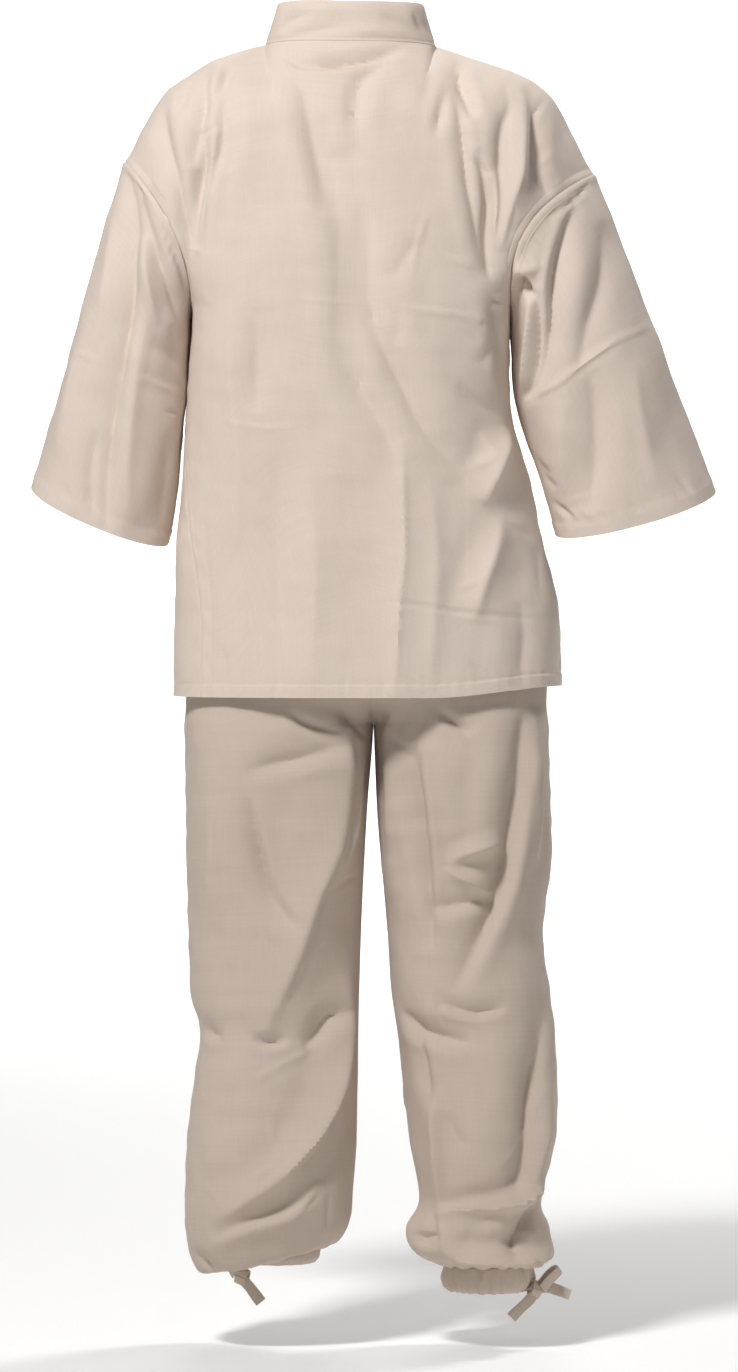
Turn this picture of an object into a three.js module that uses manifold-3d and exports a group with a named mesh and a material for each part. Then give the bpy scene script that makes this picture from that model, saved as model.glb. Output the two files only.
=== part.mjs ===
// A samue: a Japanese cotton work suit of a wrapped jacket and drawstring trousers, standing as it is worn,
// with no wearer inside. Millimetres. +Z is up, the front faces -Y and the wearer's left is +X.
// The origin is the middle of the neck seam, where the wearer's neck and shoulders hold the jacket.
import * as THREE from 'three';
import { mergeVertices } from 'three/addons/utils/BufferGeometryUtils.js';
import Module from 'manifold-3d';

const wasm = await Module();
wasm.setup();

// Driving dimensions
const cloth = 1.5; // thickness of a cloth wall
const seam = 0.3; // gap between two pieces that are sewn together
const roundness = 2.3; // exponent of the body and leg sections, where 2 is an ellipse
const underarmRoundness = 3.2; // the same at the underarm, where the section is boxier
const neck = { halfWidth: 97, backDepth: 58 };
const underarm = { z: -300, x: 180 };
const jacketLength = 740;
// Each armhole runs from its top on the shoulder fold to the underarm. inward is how fast it turns down.
const armhole = {
  left: { x: 257, z: -133, inward: 2 },
  right: { x: -277, z: -147, inward: 3 },
  bulge: 75,
  fullness: 0.16, // how much further it stands out halfway down
};
const cuffDroop = 16; // a cuff hangs this much lower behind, and higher in front, than at its two folds
const sleeveHead = 0.4; // share of the sleeve's length over which it leaves the armhole's shape
const collarThickness = 2.4;
const layerOffset = 3; // how far the two fronts part from the middle surface where they overlap
const layerFade = { sideX: 170, overX: 60, topZ: -40, overZ: 120 }; // and where that fades in
const neckRounding = 95; // height over which the cloth rounds off beside the neck
const hemLift = { height: 12, fromX: -90, overX: 150 }; // the hem climbs towards the right side
const sideSeam = { left: 34, right: 4, fromLevel: 1.1, overLevels: 0.75 }; // degrees behind the side
const collarStand = { height: 46, lean: 0.14, back: -7, side: 13 };
const collarTurn = { fromZ: -5, overZ: 130 }; // where the standing collar lies down on the front
const foldFade = { reach: 0.1, shoulder: 60, side: 60 };
const sleeveFrontShift = 34; // the same folds lie lower on a sleeve's front
const legMirror = -50; // and are mirrored about half of this x on the trousers' front

// Height of the shoulder fold against the distance from the neck's middle.
const shoulderLine = {
  left: [
    { x: 0, z: 0 }, { x: 96, z: 0 }, { x: 156, z: -17 }, { x: 193, z: -40 },
    { x: 212, z: -56 }, { x: 238, z: -98 }, { x: 257, z: -133 },
  ],
  right: [
    { x: 0, z: 0 }, { x: 96, z: -2 }, { x: 134, z: -14 }, { x: 182, z: -29 },
    { x: 208, z: -42 }, { x: 232, z: -64 }, { x: 250, z: -98 }, { x: 277, z: -147 },
  ],
};

// The jacket's outline by height: its left and right sides, and how far the back and front stand out.
const bodySections = [
  { z: 0, left: 180, right: -180, back: 92, front: 78 },
  { z: -60, left: 180, right: -180, back: 100, front: 92 },
  { z: -140, left: 180, right: -180, back: 111, front: 108 },
  { z: -220, left: 180, right: -180, back: 117, front: 116 },
  { z: -300, left: 180, right: -180, back: 118, front: 118 },
  { z: -420, left: 187, right: -183, back: 113, front: 121 },
  { z: -500, left: 192, right: -205, back: 113, front: 124 },
  { z: -560, left: 197, right: -217, back: 117, front: 126 },
  { z: -640, left: 200, right: -236, back: 123, front: 128 },
  { z: -740, left: 202, right: -240, back: 128, front: 131 },
];

// Where the collar band is sewn to the left front. The right front mirrors it underneath.
const collarSeam = [
  { z: 0, x: 97, width: 50 }, { z: -60, x: 95, width: 50 }, { z: -120, x: 81, width: 50 },
  { z: -200, x: 44, width: 50 }, { z: -280, x: 4, width: 50 }, { z: -360, x: -36, width: 50 },
  { z: -440, x: -74, width: 46 }, { z: -500, x: -98, width: 28 }, { z: -564, x: -122, width: 8 },
  { z: -620, x: -128, width: 8 }, { z: -740, x: -128, width: 8 },
];

// Each sleeve's two edges by share of its length: the outer fold, the underarm fold, and half its depth.
const sleeves = {
  left: [
    { t: 0, outerX: 257, outerZ: -133, innerX: 180.8, innerZ: -300, depth: 75, middle: 0 },
    { t: 0.2, outerX: 279, outerZ: -205, innerX: 184.8, innerZ: -352, depth: 77, middle: 0 },
    { t: 0.4, outerX: 300, outerZ: -278, innerX: 188, innerZ: -406, depth: 76, middle: -2 },
    { t: 0.6, outerX: 320, outerZ: -350, innerX: 191.6, innerZ: -460, depth: 74, middle: -5 },
    { t: 0.8, outerX: 342, outerZ: -428, innerX: 197, innerZ: -514, depth: 71, middle: -8 },
    { t: 1, outerX: 363, outerZ: -503, innerX: 208.5, innerZ: -566, depth: 67, middle: -12 },
  ],
  right: [
    { t: 0, outerX: -277, outerZ: -147, innerX: -180.8, innerZ: -300, depth: 75, middle: 0 },
    { t: 0.2, outerX: -304, outerZ: -215, innerX: -182.8, innerZ: -350, depth: 74, middle: 0 },
    { t: 0.4, outerX: -333, outerZ: -288, innerX: -186.5, innerZ: -402, depth: 70, middle: -2 },
    { t: 0.6, outerX: -360, outerZ: -360, innerX: -202, innerZ: -452, depth: 66, middle: -5 },
    { t: 0.8, outerX: -388, outerZ: -433, innerX: -219, innerZ: -504, depth: 60, middle: -8 },
    { t: 1, outerX: -416, outerZ: -507, innerX: -233, innerZ: -556, depth: 56, middle: -12 },
  ],
};

// The trouser legs from the waist seam to the ankle seam: outer and inner edge, depth behind and in front,
// and the slope of the row across the leg. The last rows turn under and in, because the cloth blouses.
const hipHeight = -640;
const crotchHeight = -773;
const legs = {
  left: [
    { z: -517, outer: 142, inner: -11, back: 96, front: 98, slope: 0 },
    { z: -560, outer: 170, inner: -13, back: 109, front: 106, slope: 0 },
    { z: -640, outer: 186, inner: -18, back: 120.6, front: 112, slope: 0 },
    { z: -700, outer: 190, inner: -22, back: 122, front: 113, slope: 0 },
    { z: -773, outer: 189, inner: -26, back: 113, front: 108, slope: 0 },
    { z: -869, outer: 187, inner: -19, back: 101, front: 98, slope: 0 },
    { z: -986, outer: 185, inner: -13, back: 92, front: 93, slope: 0 },
    { z: -1076, outer: 181, inner: -10, back: 87, front: 90, slope: 0 },
    { z: -1120, outer: 171, inner: -9, back: 82, front: 90, slope: 0 },
    { z: -1185, outer: 179, inner: -8, back: 86, front: 84, slope: 0 },
    { z: -1245, outer: 186, inner: -7, back: 90, front: 80, slope: 0 },
    { z: -1304, outer: 188, inner: -3, back: 91, front: 78, slope: -0.04 },
    { z: -1345, outer: 186, inner: 0, back: 88, front: 76, slope: -0.14 },
    { z: -1375, outer: 172, inner: 12, back: 76, front: 66, slope: -0.24 },
    { z: -1372, outer: 148, inner: 30, back: 60, front: 54, slope: -0.2 },
    { z: -1354, outer: 130, inner: 37, back: 48, front: 48, slope: 0 },
  ],
  right: [
    { z: -517, outer: -164, inner: -11, back: 96, front: 98, slope: 0 },
    { z: -560, outer: -194, inner: -13, back: 109, front: 106, slope: 0 },
    { z: -640, outer: -219, inner: -18, back: 120.6, front: 112, slope: 0 },
    { z: -700, outer: -226, inner: -22, back: 122, front: 113, slope: 0 },
    { z: -773, outer: -225, inner: -26, back: 113, front: 108, slope: 0 },
    { z: -869, outer: -228, inner: -30, back: 101, front: 98, slope: 0 },
    { z: -928, outer: -228, inner: -35, back: 94, front: 94, slope: 0 },
    { z: -1010, outer: -219, inner: -42, back: 88, front: 92, slope: 0 },
    { z: -1072, outer: -226, inner: -46, back: 84, front: 92, slope: 0 },
    { z: -1127, outer: -232, inner: -54, back: 80, front: 90, slope: 0 },
    { z: -1190, outer: -235, inner: -61, back: 80, front: 84, slope: 0 },
    { z: -1245, outer: -233, inner: -67, back: 79, front: 80, slope: 0 },
    { z: -1312, outer: -217, inner: -78, back: 70, front: 72, slope: 0 },
    { z: -1345, outer: -226, inner: -63, back: 79, front: 72, slope: 0 },
    { z: -1374, outer: -230, inner: -72, back: 74, front: 68, slope: 0.04 },
    { z: -1386, outer: -209, inner: -105, back: 52, front: 54, slope: 0 },
  ],
};
const centreSeam = [{ z: -517, x: -11 }, { z: -640, x: -18 }, { z: -773, x: -26 }];
const waistband = {
  x: -11, y: -1, halfWidth: 153, halfDepth: 97, top: -478, bottom: -516.7, thickness: 2, taper: 0,
  waves: 20, perWave: 3, height: 1.6,
};
const ankleCuffs = {
  left: { x: 83.5, y: 0, halfWidth: 45.5, halfDepth: 47, top: -1354.3, bottom: -1383, taper: 0 },
  right: { x: -157, y: -1, halfWidth: 51, halfDepth: 52, top: -1386.3, bottom: -1416, taper: 0.1 },
};
const cuffGathers = { waves: 14, perWave: 4, height: 2.2 };
const tieWidth = 13;
const tieThickness = 1.6;
const knotSize = { x: 16, y: 9, z: 16 };

// The routes of the ties from their roots, as the middle of the band. Outer ties are given on the jacket's
// front by x and z, and lift is how far they lie above it.
const outerTies = {
  left: {
    knot: { x: -157, z: -507, lift: 8 },
    bands: [
      [{ x: -126.6, z: -506, lift: 2.3 }, { x: -140, z: -507, lift: 5 }, { x: -157, z: -507, lift: 8 }],
      [{ x: -157, z: -507, lift: 6 }, { x: -150, z: -540, lift: 5 }, { x: -146, z: -590, lift: 6 },
        { x: -151, z: -640, lift: 6 }],
    ],
    loop: [{ x: -157, z: -507, lift: 5 }, { x: -132, z: -524, lift: 6 }, { x: -104, z: -545, lift: 7 }],
  },
  right: {
    knot: null,
    bands: [
      [{ x: -193, z: -500, lift: 0.4 }, { x: -184, z: -502, lift: 4 }, { x: -169, z: -506, lift: 7 }],
    ],
    loop: [{ x: -169, z: -509, lift: 6 }, { x: -186, z: -530, lift: 6 }, { x: -199, z: -556, lift: 7 }],
  },
};
const ankleTies = {
  left: {
    knot: { x: 122.6, y: 27, z: -1397 },
    bands: [
      [{ x: 123, y: 25, z: -1383.6 }, { x: 123, y: 26, z: -1390 }, { x: 122.6, y: 27, z: -1397 }],
      [{ x: 122.6, y: 28, z: -1397 }, { x: 111, y: 36, z: -1411 }, { x: 100, y: 41, z: -1425 }],
      [{ x: 124, y: 24, z: -1397 }, { x: 130, y: 12, z: -1412 }, { x: 132, y: 0, z: -1428 }],
    ],
    loops: [],
  },
  right: {
    knot: { x: -209.4, y: 15, z: -1413 },
    bands: [
      [{ x: -208, y: 18, z: -1420 }, { x: -195, y: 29, z: -1430 }, { x: -182, y: 33, z: -1443 }],
      [{ x: -208, y: 12, z: -1413 }, { x: -229, y: 10, z: -1413 }, { x: -249, y: 7, z: -1421 }],
    ],
    loops: [[{ x: -213, y: 14, z: -1412 }, { x: -221, y: 10, z: -1403 }, { x: -231, y: 6, z: -1393 }]],
  },
};
const loopSpread = 6; // how far a loop's two runs stand apart

// The largest folds of each piece. A row is one fold that runs from (x1, z1) to (x2, z2) and bows sideways
// by bend. height is how far the cloth stands out along it, and width is half the fold's breadth.
const folds = {
  back: [
    { x1: 214, z1: -62, x2: 176, z2: -235, bend: -6, height: -7, width: 13 },
    { x1: 152, z1: -92, x2: 172, z2: -245, bend: 12, height: -8, width: 14 },
    { x1: 176, z1: -80, x2: 160, z2: -215, bend: 4, height: 5, width: 12 },
    { x1: 128, z1: -40, x2: 148, z2: -290, bend: -8, height: 6, width: 18 },
    { x1: -124, z1: -22, x2: -134, z2: -92, bend: 6, height: -4, width: 13 },
    { x1: -132, z1: -132, x2: -160, z2: -292, bend: 8, height: -9, width: 15 },
    { x1: -160, z1: -150, x2: -158, z2: -262, bend: -6, height: 7, width: 13 },
    { x1: -200, z1: -50, x2: -206, z2: -150, bend: 4, height: 5, width: 14 },
    { x1: 14, z1: -110, x2: -16, z2: -270, bend: 6, height: -4, width: 20 },
    { x1: 52, z1: -300, x2: 40, z2: -560, bend: 0, height: -5, width: 26 },
    { x1: 100, z1: -330, x2: 112, z2: -640, bend: 4, height: 5, width: 28 },
    { x1: -54, z1: -360, x2: -160, z2: -470, bend: -16, height: -6, width: 18 },
    { x1: -184, z1: -432, x2: -148, z2: -520, bend: 4, height: -8, width: 16 },
    { x1: -110, z1: -540, x2: -100, z2: -720, bend: 4, height: 4, width: 26 },
  ],
  front: [
    { x1: 190, z1: -70, x2: 160, z2: -250, bend: -8, height: -8, width: 15 },
    { x1: 150, z1: -80, x2: 140, z2: -280, bend: 6, height: 6, width: 16 },
    { x1: -150, z1: -80, x2: -146, z2: -270, bend: -6, height: 6, width: 16 },
    { x1: -196, z1: -76, x2: -160, z2: -250, bend: 8, height: -8, width: 15 },
    { x1: 120, z1: -380, x2: -60, z2: -478, bend: 12, height: -4, width: 18 },
    { x1: 140, z1: -440, x2: 0, z2: -520, bend: 10, height: 4, width: 18 },
    { x1: 96, z1: -520, x2: 110, z2: -720, bend: 4, height: 5, width: 26 },
    { x1: 20, z1: -540, x2: 34, z2: -720, bend: -4, height: -5, width: 24 },
  ],
  sleeve: [
    { x1: 248, z1: -150, x2: 262, z2: -400, bend: -10, height: -8, width: 20 },
    { x1: 232, z1: -205, x2: 186, z2: -322, bend: -10, height: -8, width: 16 },
    { x1: 240, z1: -290, x2: 196, z2: -365, bend: -6, height: -6, width: 14 },
    { x1: -192, z1: -270, x2: -204, z2: -402, bend: 6, height: -8, width: 12 },
    { x1: -236, z1: -220, x2: -218, z2: -330, bend: -6, height: -6, width: 16 },
    { x1: -274, z1: -230, x2: -272, z2: -530, bend: -14, height: -8, width: 24 },
  ],
  leg: [
    { x1: 4, z1: -790, x2: 84, z2: -1120, bend: -16, height: -8, width: 22 },
    { x1: 106, z1: -824, x2: 24, z2: -786, bend: -8, height: -6, width: 14 },
    { x1: 92, z1: -946, x2: 60, z2: -1000, bend: -6, height: -5, width: 14 },
    { x1: 8, z1: -1120, x2: 150, z2: -1340, bend: -34, height: 8, width: 18 },
    { x1: 34, z1: -1210, x2: 112, z2: -1310, bend: -16, height: -7, width: 14 },
    { x1: -194, z1: -780, x2: -112, z2: -1072, bend: 26, height: -9, width: 18 },
    { x1: -52, z1: -826, x2: -92, z2: -1040, bend: 8, height: -6, width: 16 },
    { x1: -112, z1: -928, x2: -170, z2: -912, bend: 16, height: -5, width: 16 },
    { x1: -100, z1: -1296, x2: -214, z2: -1240, bend: 18, height: 6, width: 16 },
    { x1: -98, z1: -1334, x2: -216, z2: -1372, bend: 20, height: -5, width: 12 },
  ],
};

const colours = { jacket: 0xd9cabb, trousers: 0xc4b3a3, ties: 0xb9a998 };

// Small mathematics

const lerp = (a, b, t) => a + (b - a) * t;
const clamp = THREE.MathUtils.clamp;
const ease = (t) => THREE.MathUtils.smoothstep(t, 0, 1);
const signedPower = (value, exponent) => Math.sign(value) * Math.abs(value) ** exponent;

// A smooth reading of one column of a table at a place between its rows (Catmull-Rom between whole rows).
function readRows(rows, column, place) {
  const row = clamp(Math.floor(place), 0, rows.length - 2);
  const at = (i) => rows[clamp(i, 0, rows.length - 1)][column];
  const t = clamp(place - row, 0, 1);
  const [a, b, c, d] = [at(row - 1), at(row), at(row + 1), at(row + 2)];
  return b + 0.5 * t * (c - a + t * (2 * a - 5 * b + 4 * c - d + t * (3 * (b - c) + d - a)));
}

// The same, for the value of another column that rises or falls through the table.
function readAt(rows, key, column, value) {
  const rising = rows[rows.length - 1][key] > rows[0][key] ? 1 : -1;
  let row = rows.findIndex((r) => (r[key] - value) * rising > 0) - 1;
  if (row === -2) row = rows.length - 2;
  row = Math.max(row, 0);
  const share = (value - rows[row][key]) / (rows[row + 1][key] - rows[row][key]);
  return readRows(rows, column, row + clamp(share, 0, 1));
}

// How far the folds move the cloth outwards at a place seen from behind or from in front.
function foldRelief(list, x, z) {
  let relief = 0;
  for (const fold of list) {
    const along = new THREE.Vector2(fold.x2 - fold.x1, fold.z2 - fold.z1);
    const length = along.length();
    along.divideScalar(length);
    const from = new THREE.Vector2(x - fold.x1, z - fold.z1);
    const t = from.dot(along) / length;
    if (t <= 0 || t >= 1) continue;
    const sideways = from.cross(along) - fold.bend * 4 * t * (1 - t);
    relief += fold.height * Math.sqrt(Math.sin(Math.PI * t)) * Math.exp(-((sideways / fold.width) ** 2));
  }
  return relief;
}

// Cloth walls

// A closed wall from a grid of outer points and the unit normals there. A tube joins its last column to its
// first.
function wallGeometry(points, normals, thickness, { tube = false } = {}) {
  const rowCount = points.length;
  const columnCount = points[0].length;
  const outerCount = rowCount * columnCount;
  const positions = [];
  points.flat().forEach((p) => positions.push(p.x, p.y, p.z));
  points.flat().forEach((p, i) => {
    const n = normals.flat()[i];
    positions.push(p.x - n.x * thickness, p.y - n.y * thickness, p.z - n.z * thickness);
  });
  const index = [];
  const quad = (a, b, c, d) => index.push(a, b, c, a, c, d);
  const id = (row, column) => row * columnCount + (column % columnCount);
  const lastColumn = tube ? columnCount : columnCount - 1;
  for (let i = 0; i < rowCount - 1; i += 1) {
    for (let j = 0; j < lastColumn; j += 1) {
      const corners = [id(i, j), id(i + 1, j), id(i + 1, j + 1), id(i, j + 1)];
      quad(...corners);
      const inner = corners.map((c) => c + outerCount);
      index.push(inner[0], inner[2], inner[1], inner[0], inner[3], inner[2]);
    }
  }
  for (let j = 0; j < lastColumn; j += 1) {
    const top = [id(0, j), id(0, j + 1)];
    quad(top[0], top[1], top[1] + outerCount, top[0] + outerCount);
    const foot = [id(rowCount - 1, j), id(rowCount - 1, j + 1)];
    quad(foot[1], foot[0], foot[0] + outerCount, foot[1] + outerCount);
  }
  for (let i = 0; i < rowCount - 1 && !tube; i += 1) {
    const first = [id(i, 0), id(i + 1, 0)];
    quad(first[1], first[0], first[0] + outerCount, first[1] + outerCount);
    const last = [id(i, columnCount - 1), id(i + 1, columnCount - 1)];
    quad(last[0], last[1], last[1] + outerCount, last[0] + outerCount);
  }
  const geometry = new THREE.BufferGeometry();
  geometry.setAttribute('position', new THREE.Float32BufferAttribute(positions, 3));
  geometry.setIndex(index);
  if (signedVolume(geometry) < 0) {
    for (let i = 0; i < index.length; i += 3) [index[i + 1], index[i + 2]] = [index[i + 2], index[i + 1]];
    geometry.setIndex(index);
  }
  return geometry;
}

function signedVolume(geometry) {
  const p = geometry.getAttribute('position');
  const ids = geometry.getIndex().array;
  const corner = (i) => new THREE.Vector3().fromBufferAttribute(p, ids[i]);
  let volume = 0;
  for (let i = 0; i < ids.length; i += 3) volume += corner(i).dot(corner(i + 1).cross(corner(i + 2)));
  return volume / 6;
}

// The two directions of a surface at a place, and its unit normal. outward is 1 or -1 and picks the side.
function directions(surface, u, v, outward) {
  const step = 1e-3;
  const acrossU = surface(u + step, v).sub(surface(u - step, v));
  const acrossV = surface(u, v + step).sub(surface(u, v - step));
  const normal = acrossU.clone().cross(acrossV).normalize().multiplyScalar(outward);
  return { acrossU: acrossU.normalize(), acrossV: acrossV.normalize(), normal };
}

// Shapes a panel from a surface: surface(u, v) for u and v from 0 to 1, a little past both ends too. The
// cloth is moved out by relief(point, normal, u, v), and the edges named in sewn stand back by that share
// of a seam.
function panelWall({ surface, columns, rows, outward, relief = () => 0, sewn = {}, tube = false,
  thickness = cloth, rowPlaces, columnPlaces, topNormal = (u, own) => own }) {
  const points = [];
  const normals = [];
  const evenly = (count) => Array.from({ length: count + 1 }, (_, i) => i / count);
  const across = (columnPlaces ?? evenly(columns)).slice(0, tube ? -1 : undefined);
  const down = rowPlaces ?? evenly(rows);
  for (const v of down) {
    const pointRow = [];
    const normalRow = [];
    for (const u of across) {
      const p = surface(u, v);
      const { acrossU, acrossV, normal } = directions(surface, u, v, outward);
      const n = v === 0 ? topNormal(u, normal) : normal;
      const away = (direction, share) => p.addScaledVector(direction, share * seam);
      if (sewn.start && u === 0) away(acrossU, sewn.start);
      if (sewn.end && u === 1) away(acrossU, -sewn.end);
      if (sewn.top && v === 0) away(acrossV, sewn.top);
      if (sewn.foot && v === 1) away(acrossV, -sewn.foot);
      pointRow.push(p.addScaledVector(n, relief(p, n, u, v)));
      normalRow.push(n);
    }
    points.push(pointRow);
    normals.push(normalRow);
  }
  return wallGeometry(points, normals, thickness, { tube });
}

const group = new THREE.Group();

function addNode(name, geometry, colour) {
  geometry.computeVertexNormals();
  const material = new THREE.MeshStandardMaterial({ color: colour, roughness: 0.9, metalness: 0 });
  const mesh = new THREE.Mesh(geometry, material);
  mesh.name = name;
  group.add(mesh);
}

// The jacket's body

// How quickly the cloth rounds over the shoulder: slowly beside the neck, as a quarter circle further out.
function shoulderRounding(share, reach) {
  const t = clamp(share, 0, 1);
  const soft = t * (2 - t);
  const round = Math.sqrt(1 - (1 - t) ** 2);
  return lerp(soft, round, ease((reach - 0.3) / 0.4));
}

// The exponent of the body's section: level is 0 at the shoulder, 1 at the underarm and 2 at the hem.
function sectionExponent(level) {
  const share = level < 1 ? ease(level) : 1 - ease((level - 1) / 0.5);
  return lerp(roundness, underarmRoundness, share);
}

const bodyDepth = (facing, z) => readAt(bodySections, 'z', facing > 0 ? 'back' : 'front', z);

// A point above the underarm. across runs from 1 at the left armhole to -1 at the right one, u from 0 at the
// shoulder to 1 at the underarm, and facing is 1 behind and -1 in front. Past the shoulder it is the other
// face, so that both faces share one normal along the fold.
const armholeX = (top, u) => lerp(Math.abs(top.x), underarm.x, 1 - (1 - clamp(u, 0, 1)) ** top.inward);

function upperPoint(across, u, facing) {
  const reach = Math.abs(across);
  const side = across >= 0 ? 'left' : 'right';
  const top = armhole[side];
  const ridgeX = reach * Math.abs(top.x);
  if (u < 0) return ridgeX > neck.halfWidth ? upperPoint(across, -u, -facing) : upperPoint(across, 0, facing);
  const x = across * armholeX(top, u);
  const ridgeZ = readAt(shoulderLine[side], 'x', 'z', ridgeX);
  const z = lerp(ridgeZ, underarm.z, u);
  const bulge = armhole.bulge * (1 + armhole.fullness * Math.sin(Math.PI * u));
  const edgeDepth = u < 0.5 ? bulge : bulge * 2 * Math.sqrt(u * (1 - u));
  const exponent = sectionExponent(u);
  const flatness = lerp(1, 1 / exponent, ease((u - 0.55) / 0.45));
  const full = edgeDepth + (bodyDepth(facing, z) - edgeDepth) * (1 - reach ** exponent) ** flatness;
  const neckShare = Math.min(ridgeX / neck.halfWidth, 1);
  const ridgeDepth = neck.backDepth * Math.sqrt(1 - neckShare ** 2);
  const roundHeight = lerp(neckRounding, Math.abs(top.z - underarm.z) / 2, reach);
  const rounded = shoulderRounding((ridgeZ - z) / roundHeight, reach);
  return new THREE.Vector3(x, facing * lerp(ridgeDepth, full, rounded), z);
}

const hemRise = (x, drop) => hemLift.height * ease((hemLift.fromX - x) / hemLift.overX) * drop ** 3;

// A point from the underarm to the hem. drop is 0 at the underarm and 1 at the hem.
function lowerPoint(angle, drop) {
  const z = lerp(underarm.z, -jacketLength, drop);
  const left = readAt(bodySections, 'z', 'left', z);
  const right = readAt(bodySections, 'z', 'right', z);
  const power = 2 / sectionExponent(1 + drop);
  const across = signedPower(Math.cos(angle), power);
  const x = (left + right) / 2 + (across * (left - right)) / 2;
  const facing = Math.sin(angle) >= 0 ? 1 : -1;
  const y = bodyDepth(facing, z) * Math.abs(Math.sin(angle)) ** power;
  return new THREE.Vector3(x, facing * y, z + hemRise(x, drop));
}

// A point of the jacket. angle is 0 at the wearer's left side, pi / 2 at the middle of the back, pi at the
// right side, and negative or over pi in front. level is 0 at the shoulder, 1 at the underarm, 2 at the hem.
function jacketPoint(angle, level, facing) {
  if (level >= 1) return lowerPoint(angle, level - 1);
  const front = angle > Math.PI / 2 ? [Math.PI, 2 * Math.PI] : [-Math.PI, 0];
  const [low, high] = facing > 0 ? [0, Math.PI] : front;
  const power = 2 / sectionExponent(Math.abs(level));
  return upperPoint(signedPower(Math.cos(clamp(angle, low, high)), power), level, facing);
}

// The point of the jacket at a place seen from behind or from in front.
function jacketAt(x, z, facing) {
  if (z < underarm.z) {
    const drop = (underarm.z - z) / (jacketLength + underarm.z);
    const left = readAt(bodySections, 'z', 'left', z);
    const right = readAt(bodySections, 'z', 'right', z);
    const across = clamp((2 * x - left - right) / (left - right), -1, 1);
    return lowerPoint(facing * Math.acos(signedPower(across, sectionExponent(1 + drop) / 2)), drop);
  }
  const top = armhole[x >= 0 ? 'left' : 'right'];
  const line = shoulderLine[x >= 0 ? 'left' : 'right'];
  let u = 0.5;
  let reach = 0;
  for (let i = 0; i < 30; i += 1) {
    reach = Math.min(Math.abs(x) / armholeX(top, u), 1);
    const ridgeZ = readAt(line, 'x', 'z', reach * Math.abs(top.x));
    u = clamp((ridgeZ - z) / (ridgeZ - underarm.z), 0, 1);
  }
  return upperPoint(Math.sign(x) * reach, u, facing);
}

// The side seams lie under the arms at the top and drift behind the body towards the hem.
const sideDrift = (level) => ease((level - sideSeam.fromLevel) / sideSeam.overLevels);
const sideSeamAngle = {
  left: (level) => THREE.MathUtils.degToRad(sideSeam.left) * sideDrift(level),
  right: (level) => Math.PI - THREE.MathUtils.degToRad(sideSeam.right) * sideDrift(level),
};

// The angle at which a level of the front reaches the collar seam.
function collarSeamAngle(level, wearerSide) {
  const sign = wearerSide === 'left' ? 1 : -1;
  let [sideways, beyond] = wearerSide === 'left' ? [0, -Math.PI] : [Math.PI, 2 * Math.PI];
  for (let i = 0; i < 40; i += 1) {
    const middle = (sideways + beyond) / 2;
    const p = jacketPoint(middle, level, -1);
    if (sign * p.x > readAt(collarSeam, 'z', 'x', p.z)) sideways = middle;
    else beyond = middle;
  }
  return (sideways + beyond) / 2;
}

const facingShare = (normal) => ease((Math.abs(normal.y) - 0.25) / 0.45);
const bodyReach = (p) => {
  const top = armhole[p.x >= 0 ? 'left' : 'right'];
  return clamp(Math.abs(p.x) / armholeX(top, (p.z - top.z) / (underarm.z - top.z)), 0, 1);
};

function jacketRelief(p, n) {
  const list = n.y > 0 ? folds.back : folds.front;
  const fade = ease((1 - bodyReach(p)) / foldFade.reach) * ease(-p.z / foldFade.shoulder);
  return foldRelief(list, p.x, p.z) * facingShare(n) * fade;
}

const frontRelief = (p, n) => (p.y < 0 ? jacketRelief(p, n) * ease(-p.y / foldFade.side) : 0);

// The left front lies over the right one, so they stand apart where they cross.
function layering(p, wearerSide) {
  const sign = wearerSide === 'left' ? 1 : -1;
  const sideways = ease((layerFade.sideX - Math.abs(p.x)) / layerFade.overX);
  return sign * layerOffset * sideways * ease((layerFade.topZ - p.z) / layerFade.overZ);
}

const armholeLevels = [0, 0.02, 0.07, 0.15, 0.25, 0.37, 0.5, 0.63, 0.75, 0.86, 0.94, 0.985, 1];
const bodyLevels = [...armholeLevels, 1.1, 1.2, 1.3, 1.4, 1.5, 1.6, 1.7, 1.8, 1.9, 2];

function backSurface(u, v) {
  const level = v * 2;
  return jacketPoint(lerp(sideSeamAngle.left(level), sideSeamAngle.right(level), u), level, 1);
}

const frontSurface = (wearerSide) => (u, v) => {
  const level = v * 2;
  const angle = lerp(sideSeamAngle[wearerSide](level), collarSeamAngle(level, wearerSide), u);
  return jacketPoint(angle, level, -1);
};

function makeJacketBack() {
  addNode('jacket_back', panelWall({
    surface: backSurface,
    columns: 24,
    rowPlaces: bodyLevels.map((level) => level / 2),
    outward: -1,
    relief: (p, n, u) => jacketRelief(p, n) * ease(Math.min(u, 1 - u) / 0.08),
    sewn: { start: 0.5, end: 0.5, top: 0.5 },
  }), colours.jacket);
}

function makeJacketFront(wearerSide) {
  addNode(`jacket_front_${wearerSide}`, panelWall({
    surface: frontSurface(wearerSide),
    columns: 14,
    rowPlaces: bodyLevels.map((level) => level / 2),
    outward: wearerSide === 'left' ? 1 : -1,
    relief: (p, n) => frontRelief(p, n) + layering(p, wearerSide),
    sewn: { start: 0.5, end: 0.5, top: 0.5 },
  }), colours.jacket);
}

// The collar band stands round the back of the neck and lies flat down both fronts.

// The seam line's stations from the foot of the left front, round the neck, to the foot of the right front.
// On the fronts they are the ends of the body's rows, so the band and the fronts share their points.
const collarEnd = 1.6;
const frontStations = bodyLevels.filter((level) => level > 0 && level <= collarEnd);
const neckStations = 20;

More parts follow.
